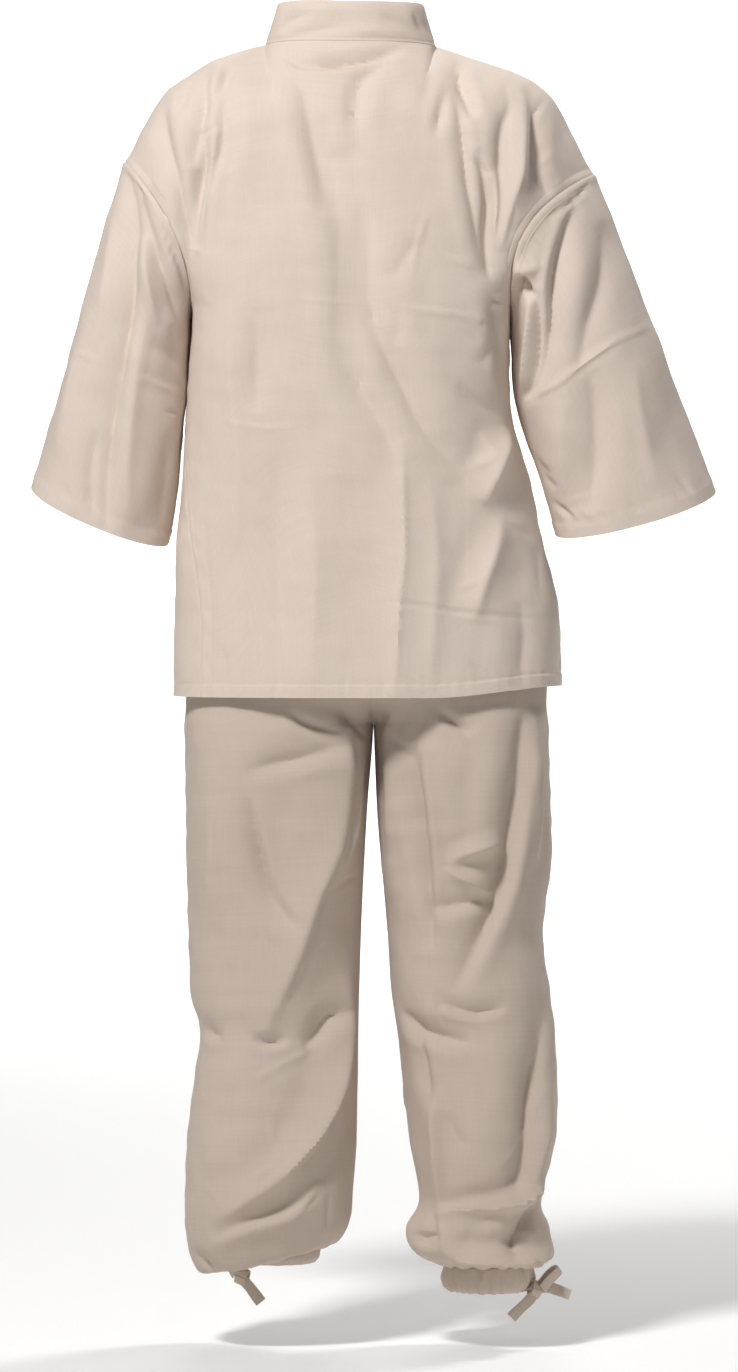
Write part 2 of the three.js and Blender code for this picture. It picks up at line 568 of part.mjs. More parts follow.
// A point of the band: station is a level on a front, negative on the right one, and 0 at either neck side.
function frontBandPoint(wearerSide, level, share) {
  const sign = wearerSide === 'left' ? 1 : -1;
  const seamPoint = (at) => jacketPoint(collarSeamAngle(at, wearerSide), at, -1);
  const here = seamPoint(level);
  const along = seamPoint(level + 1e-3).sub(seamPoint(Math.max(level - 1e-3, 0)));
  const slope = new THREE.Vector2(along.x, along.z).normalize();
  const width = readAt(collarSeam, 'z', 'width', here.z) * share;
  const lying = jacketAt(here.x + slope.y * sign * width, Math.min(here.z - slope.x * sign * width, -1), -1);
  const raised = here.clone().add(standing(sign * neck.halfWidth, share));
  return raised.lerp(lying, ease((collarTurn.fromZ - here.z) / collarTurn.overZ));
}

// How the band stands above the neck seam: upright behind, and leaning in at the sides.
function standing(x, share) {
  const y = collarStand.side * (x / neck.halfWidth) ** 2 + collarStand.back;
  return new THREE.Vector3(-collarStand.lean * x, y, collarStand.height).multiplyScalar(share);
}

function neckBandPoint(turn, share) {
  const x = neck.halfWidth * Math.cos(turn);
  const z = readAt(shoulderLine[x >= 0 ? 'left' : 'right'], 'x', 'z', Math.abs(x));
  return new THREE.Vector3(x, neck.backDepth * Math.sin(turn), z + seam).add(standing(x, share));
}

// v runs from 0 to 1 over the stations.
const collarStations = [
  ...frontStations.map((level) => ({ wearerSide: 'left', level })).reverse(),
  ...Array.from({ length: neckStations + 1 }, (_, i) => ({ turn: (Math.PI * i) / neckStations })),
  ...frontStations.map((level) => ({ wearerSide: 'right', level })),
];

function collarPoint(share, v) {
  const place = v * (collarStations.length - 1);
  const index = clamp(Math.floor(place), 0, collarStations.length - 2);
  const [a, b] = [collarStations[index], collarStations[index + 1]];
  const t = place - index;
  if (a.turn !== undefined && b.turn !== undefined) return neckBandPoint(lerp(a.turn, b.turn, t), share);
  const wearerSide = a.wearerSide ?? b.wearerSide;
  return frontBandPoint(wearerSide, Math.max(lerp(a.level ?? 0, b.level ?? 0, t), 0), share);
}

function makeCollar() {
  addNode('jacket_collar', panelWall({
    surface: collarPoint,
    columns: 3,
    rows: collarStations.length - 1,
    outward: -1,
    thickness: collarThickness,
    relief: (p, n, u, v) => {
      const wearerSide = v < 0.5 ? 'left' : 'right';
      return p.y < 0 ? frontRelief(p, n) + layering(p, wearerSide) : 0;
    },
    sewn: { start: 1.3 },
  }), colours.jacket);
}

// Sleeves

// The columns of a sleeve start at the points where the body's rows meet the armhole.
const halfTurns = armholeLevels.map((level) => Math.acos(1 - 2 * level) / (2 * Math.PI));
const sleeveColumns = [...halfTurns, ...halfTurns.slice(0, -1).map((turn) => 1 - turn).reverse()];

function makeSleeve(wearerSide) {
  const rows = sleeves[wearerSide];
  const sign = wearerSide === 'left' ? 1 : -1;
  const oval = (u, v) => {
    const share = clamp(v, 0, 1);
    const read = (column) => readAt(rows, 't', column, share);
    const angle = 2 * Math.PI * u;
    const outer = new THREE.Vector3(read('outerX'), read('middle'), read('outerZ'));
    const inner = new THREE.Vector3(read('innerX'), read('middle'), read('innerZ'));
    const p = outer.clone().lerp(inner, (1 - Math.cos(angle)) / 2);
    p.y += read('depth') * Math.sin(angle);
    p.z -= cuffDroop * Math.sin(angle) * share ** 2;
    return p;
  };
  const surface = (u, v) => {
    const turn = 2 * Math.PI * u;
    const edge = upperPoint(sign, (1 - Math.cos(turn)) / 2, Math.sin(turn) >= 0 ? 1 : -1);
    const head = Math.max(1 - v / sleeveHead, 0) ** 2;
    return oval(u, v).addScaledVector(edge.sub(oval(u, 0)), head);
  };
  const relief = (p, n, u, v) => {
    const shift = n.y > 0 ? 0 : sleeveFrontShift;
    return foldRelief(folds.sleeve, p.x, p.z + shift) * facingShare(n) * ease((v - 0.02) / 0.12);
  };
  // Over the shoulder the sleeve takes the body's normal, so that the two walls meet edge to edge.
  const topNormal = (u, own) => {
    const level = (1 - Math.cos(2 * Math.PI * u)) / 2;
    const behind = u <= 0.5;
    const panel = behind ? backSurface : frontSurface(wearerSide);
    const panelOutward = behind ? -1 : sign;
    const edge = behind && wearerSide === 'right' ? 1 : 0;
    const { normal } = directions(panel, edge, level / 2, panelOutward);
    return normal.dot(own) > 0.5 ? normal : own;
  };
  addNode(`sleeve_${wearerSide}`, panelWall({
    surface,
    columnPlaces: sleeveColumns,
    rows: 12,
    outward: -sign,
    relief,
    topNormal,
    sewn: { top: 0.5 },
    tube: true,
  }), colours.jacket);
}

// Trousers

// A point of one half of the trousers. s runs from 0 at the middle or inside seam to 1 at the outside seam,
// and place is a row of the legs table. Past a seam it is the neighbouring panel, so both share one normal.
function trouserPoint(wearerSide, facing, s, place) {
  const rows = legs[wearerSide];
  const z = readRows(rows, 'z', place);
  const aboveCrotch = z > crotchHeight && place < 5;
  if (s < 0 && aboveCrotch) {
    return trouserPoint(wearerSide === 'left' ? 'right' : 'left', facing, -s, place);
  }
  if (s < 0) return trouserPoint(wearerSide, -facing, -s, place);
  if (s > 1) return trouserPoint(wearerSide, -facing, 2 - s, place);
  const read = (column) => readRows(rows, column, place);
  const sign = wearerSide === 'left' ? 1 : -1;
  const outer = read('outer');
  const innerX = aboveCrotch ? readAt(centreSeam, 'z', 'x', z) : read('inner');
  const inner = innerX + (sign * seam) / 2;
  const depth = read(facing > 0 ? 'back' : 'front');
  const power = 2 / roundness;
  const legX = (outer + inner) / 2 - ((outer - inner) / 2) * signedPower(Math.cos(Math.PI * s), power);
  const legY = depth * Math.sin(Math.PI * s) ** power;
  const hipX = inner + (outer - inner) * Math.sin((Math.PI * s) / 2) ** power;
  const hipY = depth * Math.cos((Math.PI * s) / 2) ** power;
  const drop = clamp((hipHeight - z) / (hipHeight - crotchHeight), 0, 1);
  const hip = aboveCrotch ? Math.sqrt(1 - drop ** 2) : 0;
  const x = lerp(legX, hipX, hip);
  const y = facing * lerp(legY, hipY, hip);
  return new THREE.Vector3(x, y, z + read('slope') * (x - (outer + inner) / 2));
}

function trouserRelief(p, n) {
  const x = n.y > 0 ? p.x : legMirror - p.x;
  return foldRelief(folds.leg, x, p.z) * facingShare(n);
}

const legPlaces = [0, 1, 2, 2.6, 3.2, 3.6, 4, 4.4, 5, 5.5, 6, 6.5, 7, 7.5, 8, 9, 9.5, 10, 10.5, 11, 11.6,
  12.3, 13, 13.4, 14, 15];

function makeTrouserPanel(wearerSide, face) {
  const facing = face === 'back' ? 1 : -1;
  const sign = wearerSide === 'left' ? 1 : -1;
  const rowCount = legs[wearerSide].length - 1;
  const surface = (u, v) => trouserPoint(wearerSide, facing, u, v * rowCount);
  addNode(`trouser_${face}_${wearerSide}`, panelWall({
    surface,
    columns: 9,
    rowPlaces: legPlaces.map((place) => place / rowCount),
    outward: sign * facing,
    relief: trouserRelief,
    sewn: { start: 0.5, end: 0.5, top: 0.5, foot: 0.5 },
  }), colours.trousers);
}

// A gathered band: an upright oval tube whose wall waves in and out.
function gatheredBand(band) {
  const { x, y, halfWidth, halfDepth, top, bottom, taper, waves, perWave, height, rows, thickness } = band;
  return panelWall({
    surface: (u, v) => {
      const angle = 2 * Math.PI * u;
      const scale = 1 - taper * v;
      return new THREE.Vector3(
        x + halfWidth * scale * Math.cos(angle),
        y + halfDepth * scale * Math.sin(angle),
        lerp(top, bottom, v),
      );
    },
    columns: waves * perWave,
    rows,
    outward: -1,
    thickness,
    relief: (p, n, u, v) => height * Math.sin(2 * Math.PI * u * waves) * ease(v / 0.5),
    tube: true,
  });
}

// Ties

// A flat band along a route of points, each with the way that its broad side looks.
function ribbon(route, steps) {
  const curve = new THREE.CatmullRomCurve3(route.map((stop) => stop.at), false, 'centripetal');
  const points = [];
  const normals = [];
  for (let i = 0; i <= steps; i += 1) {
    const t = i / steps;
    const place = t * (route.length - 1);
    const index = Math.min(Math.floor(place), route.length - 2);
    const face = route[index].face.clone().lerp(route[index + 1].face, place - index);
    const tangent = curve.getTangent(t);
    const across = tangent.clone().cross(face).normalize();
    const normal = across.clone().cross(tangent).normalize();
    const at = curve.getPoint(t).addScaledVector(normal, tieThickness / 2);
    points.push([-0.5, 0.5].map((side) => at.clone().addScaledVector(across, side * tieWidth)));
    normals.push([normal, normal]);
  }
  return wallGeometry(points, normals, tieThickness);
}

// A loop of a bow: the band runs out along the route and back over itself.
function loopRoute(route) {
  const out = route.map((stop) => ({ at: stop.at.clone(), face: stop.face.clone().negate() }));
  const end = route[route.length - 1];
  const before = route[route.length - 2];
  const onward = end.at.clone().sub(before.at).normalize();
  const tip = {
    at: end.at.clone().addScaledVector(onward, loopSpread / 2).addScaledVector(end.face, loopSpread / 2),
    face: onward,
  };
  const back = route.map((stop) => ({
    at: stop.at.clone().addScaledVector(stop.face, loopSpread),
    face: stop.face.clone(),
  })).reverse();
  return [...out, tip, ...back];
}

function knotGeometry(at, face) {
  const knot = new THREE.SphereGeometry(0.5, 10, 6);
  knot.scale(knotSize.x, knotSize.y, knotSize.z);
  const turn = new THREE.Quaternion().setFromUnitVectors(new THREE.Vector3(0, 1, 0), face);
  knot.applyQuaternion(turn);
  knot.translate(at.x, at.y, at.z);
  return knot;
}

// Joins overlapping closed pieces into one solid.
function fuse(geometries) {
  const solids = geometries.map((geometry) => {
    const bare = geometry.clone();
    bare.deleteAttribute('normal');
    bare.deleteAttribute('uv');
    const merged = mergeVertices(bare, 1e-3);
    return new wasm.Manifold(new wasm.Mesh({
      numProp: 3,
      vertProperties: merged.getAttribute('position').array,
      triVerts: new Uint32Array(merged.getIndex().array),
    }));
  });
  const joined = solids.reduce((all, solid) => all.add(solid)).getMesh();
  const geometry = new THREE.BufferGeometry();
  geometry.setAttribute('position', new THREE.Float32BufferAttribute(joined.vertProperties, 3));
  geometry.setIndex([...joined.triVerts]);
  return geometry;
}

// A stop of an outer tie, on the jacket's front and lifted off it.
function frontStop({ x, z, lift }) {
  const step = 1;
  const across = jacketAt(x + step, z, -1).sub(jacketAt(x - step, z, -1));
  const up = jacketAt(x, z + step, -1).sub(jacketAt(x, z - step, -1));
  const face = across.cross(up).normalize();
  const at = jacketAt(x, z, -1).addScaledVector(face, lift);
  return { at, face };
}

function makeOuterTie(wearerSide) {
  const tie = outerTies[wearerSide];
  const solids = tie.bands.map((band) => ribbon(band.map(frontStop), band.length * 3));
  solids.push(ribbon(loopRoute(tie.loop.map(frontStop)), 14));
  if (tie.knot) {
    const stop = frontStop(tie.knot);
    solids.push(knotGeometry(stop.at, stop.face));
  }
  addNode(`outer_tie_${wearerSide}`, fuse(solids), colours.ties);
}

// The ankle ties hang round the ankle and look away from its middle, a little to the back.
function makeAnkleTie(wearerSide) {
  const tie = ankleTies[wearerSide];
  const middle = ankleCuffs[wearerSide];
  const stop = ({ x, y, z }) => ({
    at: new THREE.Vector3(x, y, z),
    face: new THREE.Vector3((x - middle.x) * 0.5, Math.abs(y - middle.y) + 20, 0).normalize(),
  });
  const solids = tie.bands.map((band) => ribbon(band.map(stop), 6));
  for (const loop of tie.loops) solids.push(ribbon(loopRoute(loop.map(stop)), 14));
  const knot = stop(tie.knot);
  solids.push(knotGeometry(knot.at, knot.face));
  addNode(`ankle_tie_${wearerSide}`, fuse(solids), colours.ties);
}

makeJacketBack();
makeJacketFront('left');
makeJacketFront('right');
makeCollar();
for (const wearerSide of ['left', 'right']) {
  makeSleeve(wearerSide);
  makeOuterTie(wearerSide);
  makeTrouserPanel(wearerSide, 'back');
  makeTrouserPanel(wearerSide, 'front');
  addNode(`ankle_cuff_${wearerSide}`, gatheredBand({
    ...ankleCuffs[wearerSide], ...cuffGathers, rows: 3, thickness: cloth,
  }), colours.trousers);
  makeAnkleTie(wearerSide);
}
addNode('waistband', gatheredBand({ ...waistband, rows: 1 }), colours.trousers);

export default group;
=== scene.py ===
import math
import bpy
import numpy as np
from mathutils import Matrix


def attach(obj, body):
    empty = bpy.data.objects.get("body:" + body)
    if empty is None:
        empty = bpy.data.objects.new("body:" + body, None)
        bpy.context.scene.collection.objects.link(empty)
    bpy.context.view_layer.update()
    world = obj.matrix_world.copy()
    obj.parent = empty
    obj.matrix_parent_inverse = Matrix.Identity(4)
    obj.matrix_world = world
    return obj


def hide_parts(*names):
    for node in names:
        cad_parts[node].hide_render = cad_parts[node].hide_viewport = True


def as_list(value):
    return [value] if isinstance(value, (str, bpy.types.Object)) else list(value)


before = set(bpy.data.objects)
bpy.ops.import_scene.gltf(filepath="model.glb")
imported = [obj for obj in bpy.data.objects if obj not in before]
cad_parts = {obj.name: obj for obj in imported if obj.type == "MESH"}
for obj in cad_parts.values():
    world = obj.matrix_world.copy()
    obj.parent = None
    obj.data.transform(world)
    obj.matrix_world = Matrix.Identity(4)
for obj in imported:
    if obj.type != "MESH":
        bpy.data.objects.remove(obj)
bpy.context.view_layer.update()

# Camera
# It stands well behind the garment, as high as the jacket's hem, with a little shift downwards to take in
# both the collar and the ankles. The picture's height is measured where the cloth of the back and legs is.
view_distance = 7
view_height = -0.6
cloth_plane = 0.045
picture_middle = (-0.021, -0.728)
picture_height = 1.550
camera_data = bpy.data.cameras.new("camera")
camera_data.sensor_fit = "VERTICAL"
camera_data.sensor_height = 24
camera_data.lens = camera_data.sensor_height * (view_distance - cloth_plane) / picture_height
camera_data.shift_y = (picture_middle[1] - view_height) / picture_height
camera = bpy.data.objects.new("camera", camera_data)
camera.location = (picture_middle[0], view_distance, view_height)
camera.rotation_euler = (math.pi / 2, 0, math.pi)
bpy.context.scene.collection.objects.link(camera)
bpy.context.scene.camera = camera

# Studio
# A white floor that curves up into a wall beyond the garment, so far off that a view from the front isn't
# blocked by it, in a pale room. One soft light stands high on the picture's left and a weaker one in front
# of the garment. Three more whiten the wall and the floor before it.
floor_height = -1.478
floor_front = 7
wall_distance = 11
wall_height = 3.4
wall_curve = 2.2
floor_half_width = 4.4
curve_steps = 12
room_brightness = 0.18
bpy.context.scene.view_settings.view_transform = "Standard"


def linear_colour(hex_code):
    """An sRGB hex colour as the linear numbers that a shader takes."""
    parts = [int(hex_code[i:i + 2], 16) / 255 for i in (1, 3, 5)]
    return [c / 12.92 if c <= 0.04045 else ((c + 0.055) / 1.055) ** 2.4 for c in parts] + [1]


def add_node(tree, kind, settings=None, links=None, **values):
    """A node of a tree with its settings, its input values and what is plugged into it."""
    node = tree.nodes.new(kind)
    for key, value in (settings or {}).items():
        setattr(node, key, value)
    for key, value in values.items():
        node.inputs[key.replace("_", " ")].default_value = value
    for key, (source, output) in (links or {}).items():
        socket = node.inputs[key] if isinstance(key, int) else node.inputs[key.replace("_", " ")]
        tree.links.new(source.outputs[output], socket)
    return node


def new_material(name):
    material = bpy.data.materials.new(name)
    material.use_nodes = True
    material.node_tree.nodes.clear()
    return material, material.node_tree


profile = [(floor_front, floor_height), (-wall_distance + wall_curve, floor_height)]
for i in range(1, curve_steps + 1):
    angle = math.pi / 2 * i / curve_steps
    profile.append((-wall_distance + wall_curve * (1 - math.sin(angle)),
                    floor_height + wall_curve * (1 - math.cos(angle))))
profile.append((-wall_distance, wall_height))
floor_mesh = bpy.data.meshes.new("floor")
floor_mesh.from_pydata(
    [(x, y, z) for y, z in profile for x in (-floor_half_width, floor_half_width)], [],
    [(2 * i, 2 * i + 1, 2 * i + 3, 2 * i + 2) for i in range(len(profile) - 1)])
floor_mesh.polygons.foreach_set("use_smooth", [True] * len(floor_mesh.polygons))
floor = bpy.data.objects.new("floor", floor_mesh)
bpy.context.scene.collection.objects.link(floor)
floor_paint, tree = new_material("matt white studio floor")
shader = add_node(tree, "ShaderNodeBsdfPrincipled", Roughness=0.95, Base_Color=linear_colour("#F7F7F6"))
add_node(tree, "ShaderNodeOutputMaterial", links={"Surface": (shader, "BSDF")})
floor_mesh.materials.append(floor_paint)

room = bpy.data.worlds.new("pale room")
room.use_nodes = True
room.node_tree.nodes["Background"].inputs["Color"].default_value = linear_colour("#FCFBFA")
room.node_tree.nodes["Background"].inputs["Strength"].default_value = room_brightness
bpy.context.scene.world = room

# Columns: name, place, what it faces, size in metres, watts.
for name, place, aim, size, watts in [
    ("key", (1.4, 2.7, 2.7), (0, 0, -0.4), 0.7, 172),
    ("front key", (-2.3, -2.4, 2.4), (0, 0, -0.6), 0.9, 85),
    ("wall left", (3.4, -7.8, 2.4), (0, -10.8, -0.4), 1.6, 210),
    ("wall right", (-3.4, -7.8, 2.4), (0, -10.8, -0.4), 1.6, 210),
    ("floor", (0, -4.8, 3.0), (0, -4.8, floor_height), 2.0, 75),
]:
    lamp = bpy.data.lights.new(name, "AREA")
    lamp.size = size
    lamp.energy = watts
    lamp_object = bpy.data.objects.new(name, lamp)
    lamp_object.location = place
    toward = np.array(aim, float) - np.array(place)
    yaw = math.atan2(toward[1], toward[0]) - math.pi / 2
    pitch = math.atan2(toward[2], math.hypot(toward[0], toward[1])) + math.pi / 2
    lamp_object.rotation_euler = (pitch, 0, yaw)
    bpy.context.scene.collection.objects.link(lamp_object)

# Jacket back
# One panel of plain woven cotton from the shoulder fold to the hem, sewn to the fronts at the shoulders and
# sides. The cloth hangs in soft creases from the shoulder blades and the underarms.
# Sizes are in millimetres. Names with "left" and "right" mean the wearer's sides, and left is +x.
cloth = 1.2
hem_thickness = 2.2
hem_depth = 15
seam = 0.04
roundness = 2.3
underarm_roundness = 3.2
neck_half_width = 97
neck_back_depth = 58
underarm_z = -300
underarm_x = 180
jacket_length = 740
armhole_bulge = 75
armhole_top = {"left": 257, "right": -277}
armhole_top_z = {"left": -133, "right": -147}
armhole_inward = {"left": 2, "right": 3}
armhole_fullness = 0.16
shoulder_round_height = 95
hem_rise_right = 12
stitches_from_side = 9
seam_drift = {"left": 34, "right": 4}
# Columns: distance from the neck's middle, height of the shoulder fold.
shoulder_line = {
    "left": [(0, 0), (96, 0), (156, -17), (193, -40), (212, -56), (238, -98), (257, -133)],
    "right": [(0, 0), (96, -2), (134, -14), (182, -29), (208, -42), (232, -64), (250, -98), (277, -147)],
}
# Columns: height, left side, right side, depth behind, depth in front.
body_sections = [
    (0, 180, -180, 92, 78), (-60, 180, -180, 100, 92), (-140, 180, -180, 111, 108),
    (-220, 180, -180, 117, 116), (-300, 180, -180, 118, 118), (-420, 187, -183, 113, 121),
    (-500, 192, -205, 113, 124), (-560, 197, -217, 117, 126), (-640, 200, -236, 123, 128),
    (-740, 202, -240, 128, 131),
]
# Columns: points of the fold as it runs over the cloth (x, z), height, half width on its left, on its right.
back_folds = [
    ([(213, -60), (210, -94), (204, -122), (196, -154), (189, -189), (184, -211), (176, -244)], -7.2, 11, 7),
    ([(164, -99), (163, -133), (167, -162), (171, -195), (173, -237)], -12.3, 17, 8),
    ([(150, -99), (159, -101), (165, -108)], -3, 4, 4),
    ([(149, -99), (155, -138), (160, -163), (164, -181), (169, -211), (174, -244)], 5.8, 6, 11),
    ([(129, -23), (137, -42), (144, -81), (144, -106), (147, -130), (155, -158), (159, -186), (162, -242)
      ], -8.7, 10, 13),
    ([(165, -23), (165, -70), (169, -99), (174, -122), (177, -145)], -10.2, 12, 9),
    ([(176, -34), (186, -58), (196, -86)], -5.8, 6, 8),
    ([(136, -25), (146, -50), (153, -68)], -5.8, 5, 6),
    ([(64, -38), (52, -63), (46, -89), (42, -114), (36, -142), (25, -203)], -8.7, 12, 14),
    ([(31, -88), (28, -122), (23, -138), (18, -171), (12, -211), (6, -271), (2, -348), (-11, -392),
      (-25, -416), (-42, -450), (-56, -493)], -11.6, 15, 17),
    ([(14, -124), (2, -150), (-6, -171), (-12, -191), (-18, -224), (-25, -314), (-42, -358), (-59, -392),
      (-76, -429), (-99, -460), (-129, -486)], -11.6, 15, 19),
    ([(-8, -43), (-6, -89), (-8, -145)], -3, 10, 10),
    ([(20, -77), (21, -104)], -2, 2.5, 2.5),
    ([(75, -16), (56, -28), (24, -28), (-2, -26), (-23, -21), (-40, -16), (-61, -6)], -10.2, 5, 10),
    ([(93, -1), (66, 0), (43, -2), (23, -5), (-14, -2)], -3.5, 4, 5),
    ([(-50, -18), (-25, -35), (-11, -50), (-7, -76), (-5, -104)], -5.8, 9, 10),
    ([(-128, -16), (-123, -33), (-125, -47), (-132, -68), (-138, -93)], -11.6, 11, 7),
    ([(-108, -52), (-102, -81), (-96, -111)], -5.8, 6, 9),
    ([(-116, -47), (-123, -89), (-128, -130), (-132, -166), (-138, -197), (-145, -240)], -7.2, 9, 6),
    ([(-144, -124), (-151, -162), (-155, -184), (-155, -212), (-156, -249), (-157, -273)], -11.6, 12, 8),
    ([(-138, -133), (-150, -147), (-160, -153)], -3, 5, 3),
    ([(-164, -147), (-165, -181), (-163, -211), (-162, -227), (-159, -255)], 5.8, 6, 7),
    ([(-174, -41), (-177, -61), (-179, -78), (-172, -98), (-169, -122), (-168, -150), (-169, -181),
      (-166, -211), (-162, -231), (-158, -264)], -8.0, 9, 13),
    ([(-194, -59), (-195, -99), (-193, -122), (-190, -150), (-182, -181), (-175, -211), (-167, -240)
      ], 8.7, 10, 10),
    ([(-199, -47), (-207, -76), (-208, -99), (-209, -122), (-211, -146), (-220, -166), (-227, -181)
      ], -10.2, 11, 9),
    ([(-216, -66), (-210, -86)], -3, 3, 3),
    ([(-107, -244), (-120, -251), (-136, -259)], 1.5, 4, 4),
    ([(-52, -303), (-52, -346)], -2, 4, 8),
    ([(-119, -389), (-138, -405), (-156, -417), (-176, -426)], -3.8, 9, 14),
    ([(-163, -332), (-156, -350), (-147, -368)], -2.5, 7, 10),
    ([(-145, -321), (-151, -320)], -1.5, 3, 3),
    ([(-163, -287), (-167, -312), (-173, -339), (-179, -368), (-185, -400)], -11.6, 10, 10),
    ([(-145, -443), (-157, -460), (-154, -473), (-133, -484)], 3.8, 7, 9),
    ([(-179, -436), (-166, -473), (-149, -524)], 17.4, 14, 20),
    ([(-171, -536), (-160, -579), (-147, -619), (-138, -658)], 11.6, 14, 20),
    ([(-58, -445), (-59, -518), (-60, -585), (-55, -642), (-50, -748)], 8.7, 20, 24),
    ([(80, -450), (80, -518), (84, -562), (77, -662)], -3.8, 20, 22),
    ([(107, -303), (105, -359), (106, -421)], -5.8, 16, 20),
    ([(136, -292), (133, -382), (124, -472), (127, -585)], 5.8, 24, 24),
    ([(45, -484), (38, -585), (43, -732)], 5.8, 26, 26),
    ([(-90, -495), (-97, -585), (-90, -732)], 5.8, 24, 20),
    ([(-79, -224), (-61, -249), (-43, -276)], -3, 12, 12),
    ([(-120, -619), (-131, -614), (-145, -608)], 1.5, 4, 4),
    ([(-132, -699), (-147, -710), (-165, -722)], -2, 4, 4),
    ([(-147, -527), (-164, -537), (-181, -548), (-217, -563)], -1.8, 5, 5),
    ([(-213, -560), (-215, -621)], -2, 5, 5),
    ([(-192, -631), (-197, -676), (-190, -732)], -5.8, 14, 14),
    ([(165, -534), (162, -585), (158, -653), (160, -704), (156, -746)], -2, 4, 6),
    ([(181, -641), (171, -642), (159, -641)], -2, 3, 3),
    ([(145, -676), (140, -710), (145, -744)], -2, 8, 8),
    ([(6, -712), (5, -744)], -1.5, 3, 3),
    ([(-3, -714), (-5, -744)], -1.5, 3, 3),
    ([(-14, -712), (-12, -744)], -1.5, 3, 3),
    ([(-25, -714), (-26, -744)], -1.5, 3, 3),
    ([(-36, -715), (-35, -744)], -1.5, 3, 3),
    ([(82, -712), (84, -744)], -1.5, 3, 3),
]
# Sharp creases left by ironing and folding, in the same columns.
back_creases = [
    ([(-58, -447), (-59, -518), (-60, -585), (-55, -633), (-51, -721), (-50, -744)], 1.8, 3, 3),
    ([(-15, -634), (-55, -634), (-113, -643), (-164, -648), (-227, -653)], -1.8, 3, 3),
    ([(-87, -197), (-75, -235), (-69, -269)], 1.6, 3, 3),
    ([(-54, -303), (-102, -308), (-156, -316)], 1.6, 5, 3),
    ([(-209, -144), (-219, -137), (-229, -129)], 1.4, 2.5, 2.5),
    ([(-210, -137), (-225, -127)], 1.2, 2, 2),
    ([(189, -43), (197, -61)], 1, 2.5, 2.5),
    ([(56, -292), (23, -298), (-2, -296)], 0.8, 3, 3),
    ([(147, -427), (99, -438), (56, -436)], 0.8, 3, 3),
]


def lerp(a, b, t):
    return a + (b - a) * t


def ease(t):
    t = np.clip(t, 0, 1)
    return t * t * (3 - 2 * t)


def near_line(distance, width):
    """1 on a line of stitches or a seam, and fading on both sides of it."""
    return np.exp(-(distance / width) ** 2)


def signed_power(value, exponent):
    return np.sign(value) * np.abs(value) ** exponent


def smooth_between(a, b, c, d, t):
    """The smooth curve from b, where t is 0, to c, where it is 1, with a and d the points on either side."""
    return b + 0.5 * t * (c - a + t * (2 * a - 5 * b + 4 * c - d + t * (3 * (b - c) + d - a)))


def read_at(rows, column, value):
    """A smooth reading of a table's column, at a value of its first column."""
    table = np.array(rows, float)
    if table[-1, 0] < table[0, 0]:
        table = table[::-1]
    keys, values = table[:, 0], table[:, column]
    i = np.clip(np.searchsorted(keys, value, side="right") - 1, 0, len(keys) - 2)
    t = np.clip((value - keys[i]) / (keys[i + 1] - keys[i]), 0, 1)
    before, after = np.maximum(i - 1, 0), np.minimum(i + 2, len(keys) - 1)
    return smooth_between(values[before], values[i], values[i + 1], values[after], t)


def section_exponent(level):
    share = np.where(level < 1, ease(level), 1 - ease((level - 1) / 0.5))
    return lerp(roundness, underarm_roundness, share)


def body_depth(facing, z):
    return np.where(facing > 0, read_at(body_sections, 3, z), read_at(body_sections, 4, z))


def armhole_top_x(left):
    return np.where(left, armhole_top["left"], -armhole_top["right"])


def shoulder_z(left, distance):
    """The height of the shoulder fold at a distance from the neck's middle."""
    return np.where(left, *[read_at(shoulder_line[side], 1, distance) for side in ("left", "right")])


def armhole_x(left, u):
    """The armhole's distance from the middle: it turns inwards and down from its top on the shoulder."""
    inward = np.where(left, armhole_inward["left"], armhole_inward["right"])
    return lerp(armhole_top_x(left), underarm_x, 1 - (1 - np.clip(u, 0, 1)) ** inward)


def upper_point(across, u, facing):
    """A point above the underarm: across is 1 at the left armhole and -1 at the right one."""
    reach = np.abs(across)
    left = across >= 0
    top_z = np.where(left, armhole_top_z["left"], armhole_top_z["right"])
    ridge_x = reach * armhole_top_x(left)
    facing = np.where((u < 0) & (ridge_x > neck_half_width), -facing, facing)
    u = np.where(u < 0, np.where(ridge_x > neck_half_width, -u, 0), u)
    x = across * armhole_x(left, u)
    ridge_z = shoulder_z(left, ridge_x)
    z = lerp(ridge_z, underarm_z, u)
    bulge = armhole_bulge * (1 + armhole_fullness * np.sin(np.pi * u))
    edge_depth = np.where(u < 0.5, bulge, bulge * 2 * np.sqrt(np.clip(u * (1 - u), 0, 1)))
    # Towards the underarm the section becomes the superellipse that the body has below.
    exponent = section_exponent(u)
    flatness = lerp(1, 1 / exponent, ease((u - 0.55) / 0.45))
    fullness = np.clip(1 - reach ** exponent, 0, 1) ** flatness
    full = edge_depth + (body_depth(facing, z) - edge_depth) * fullness
    # The cloth turns over the shoulder fold in a rounding, and round the neck's opening at the middle.
    neck_share = np.minimum(ridge_x / neck_half_width, 1)
    ridge_depth = neck_back_depth * np.sqrt(1 - neck_share ** 2)
    round_height = lerp(shoulder_round_height, np.abs(top_z - underarm_z) / 2, reach)
    t = np.clip((ridge_z - z) / round_height, 0, 1)
    rounded = lerp(t * (2 - t), np.sqrt(1 - (1 - t) ** 2), ease((reach - 0.3) / 0.4))
    return np.stack([x, facing * lerp(ridge_depth, full, rounded), z], -1)


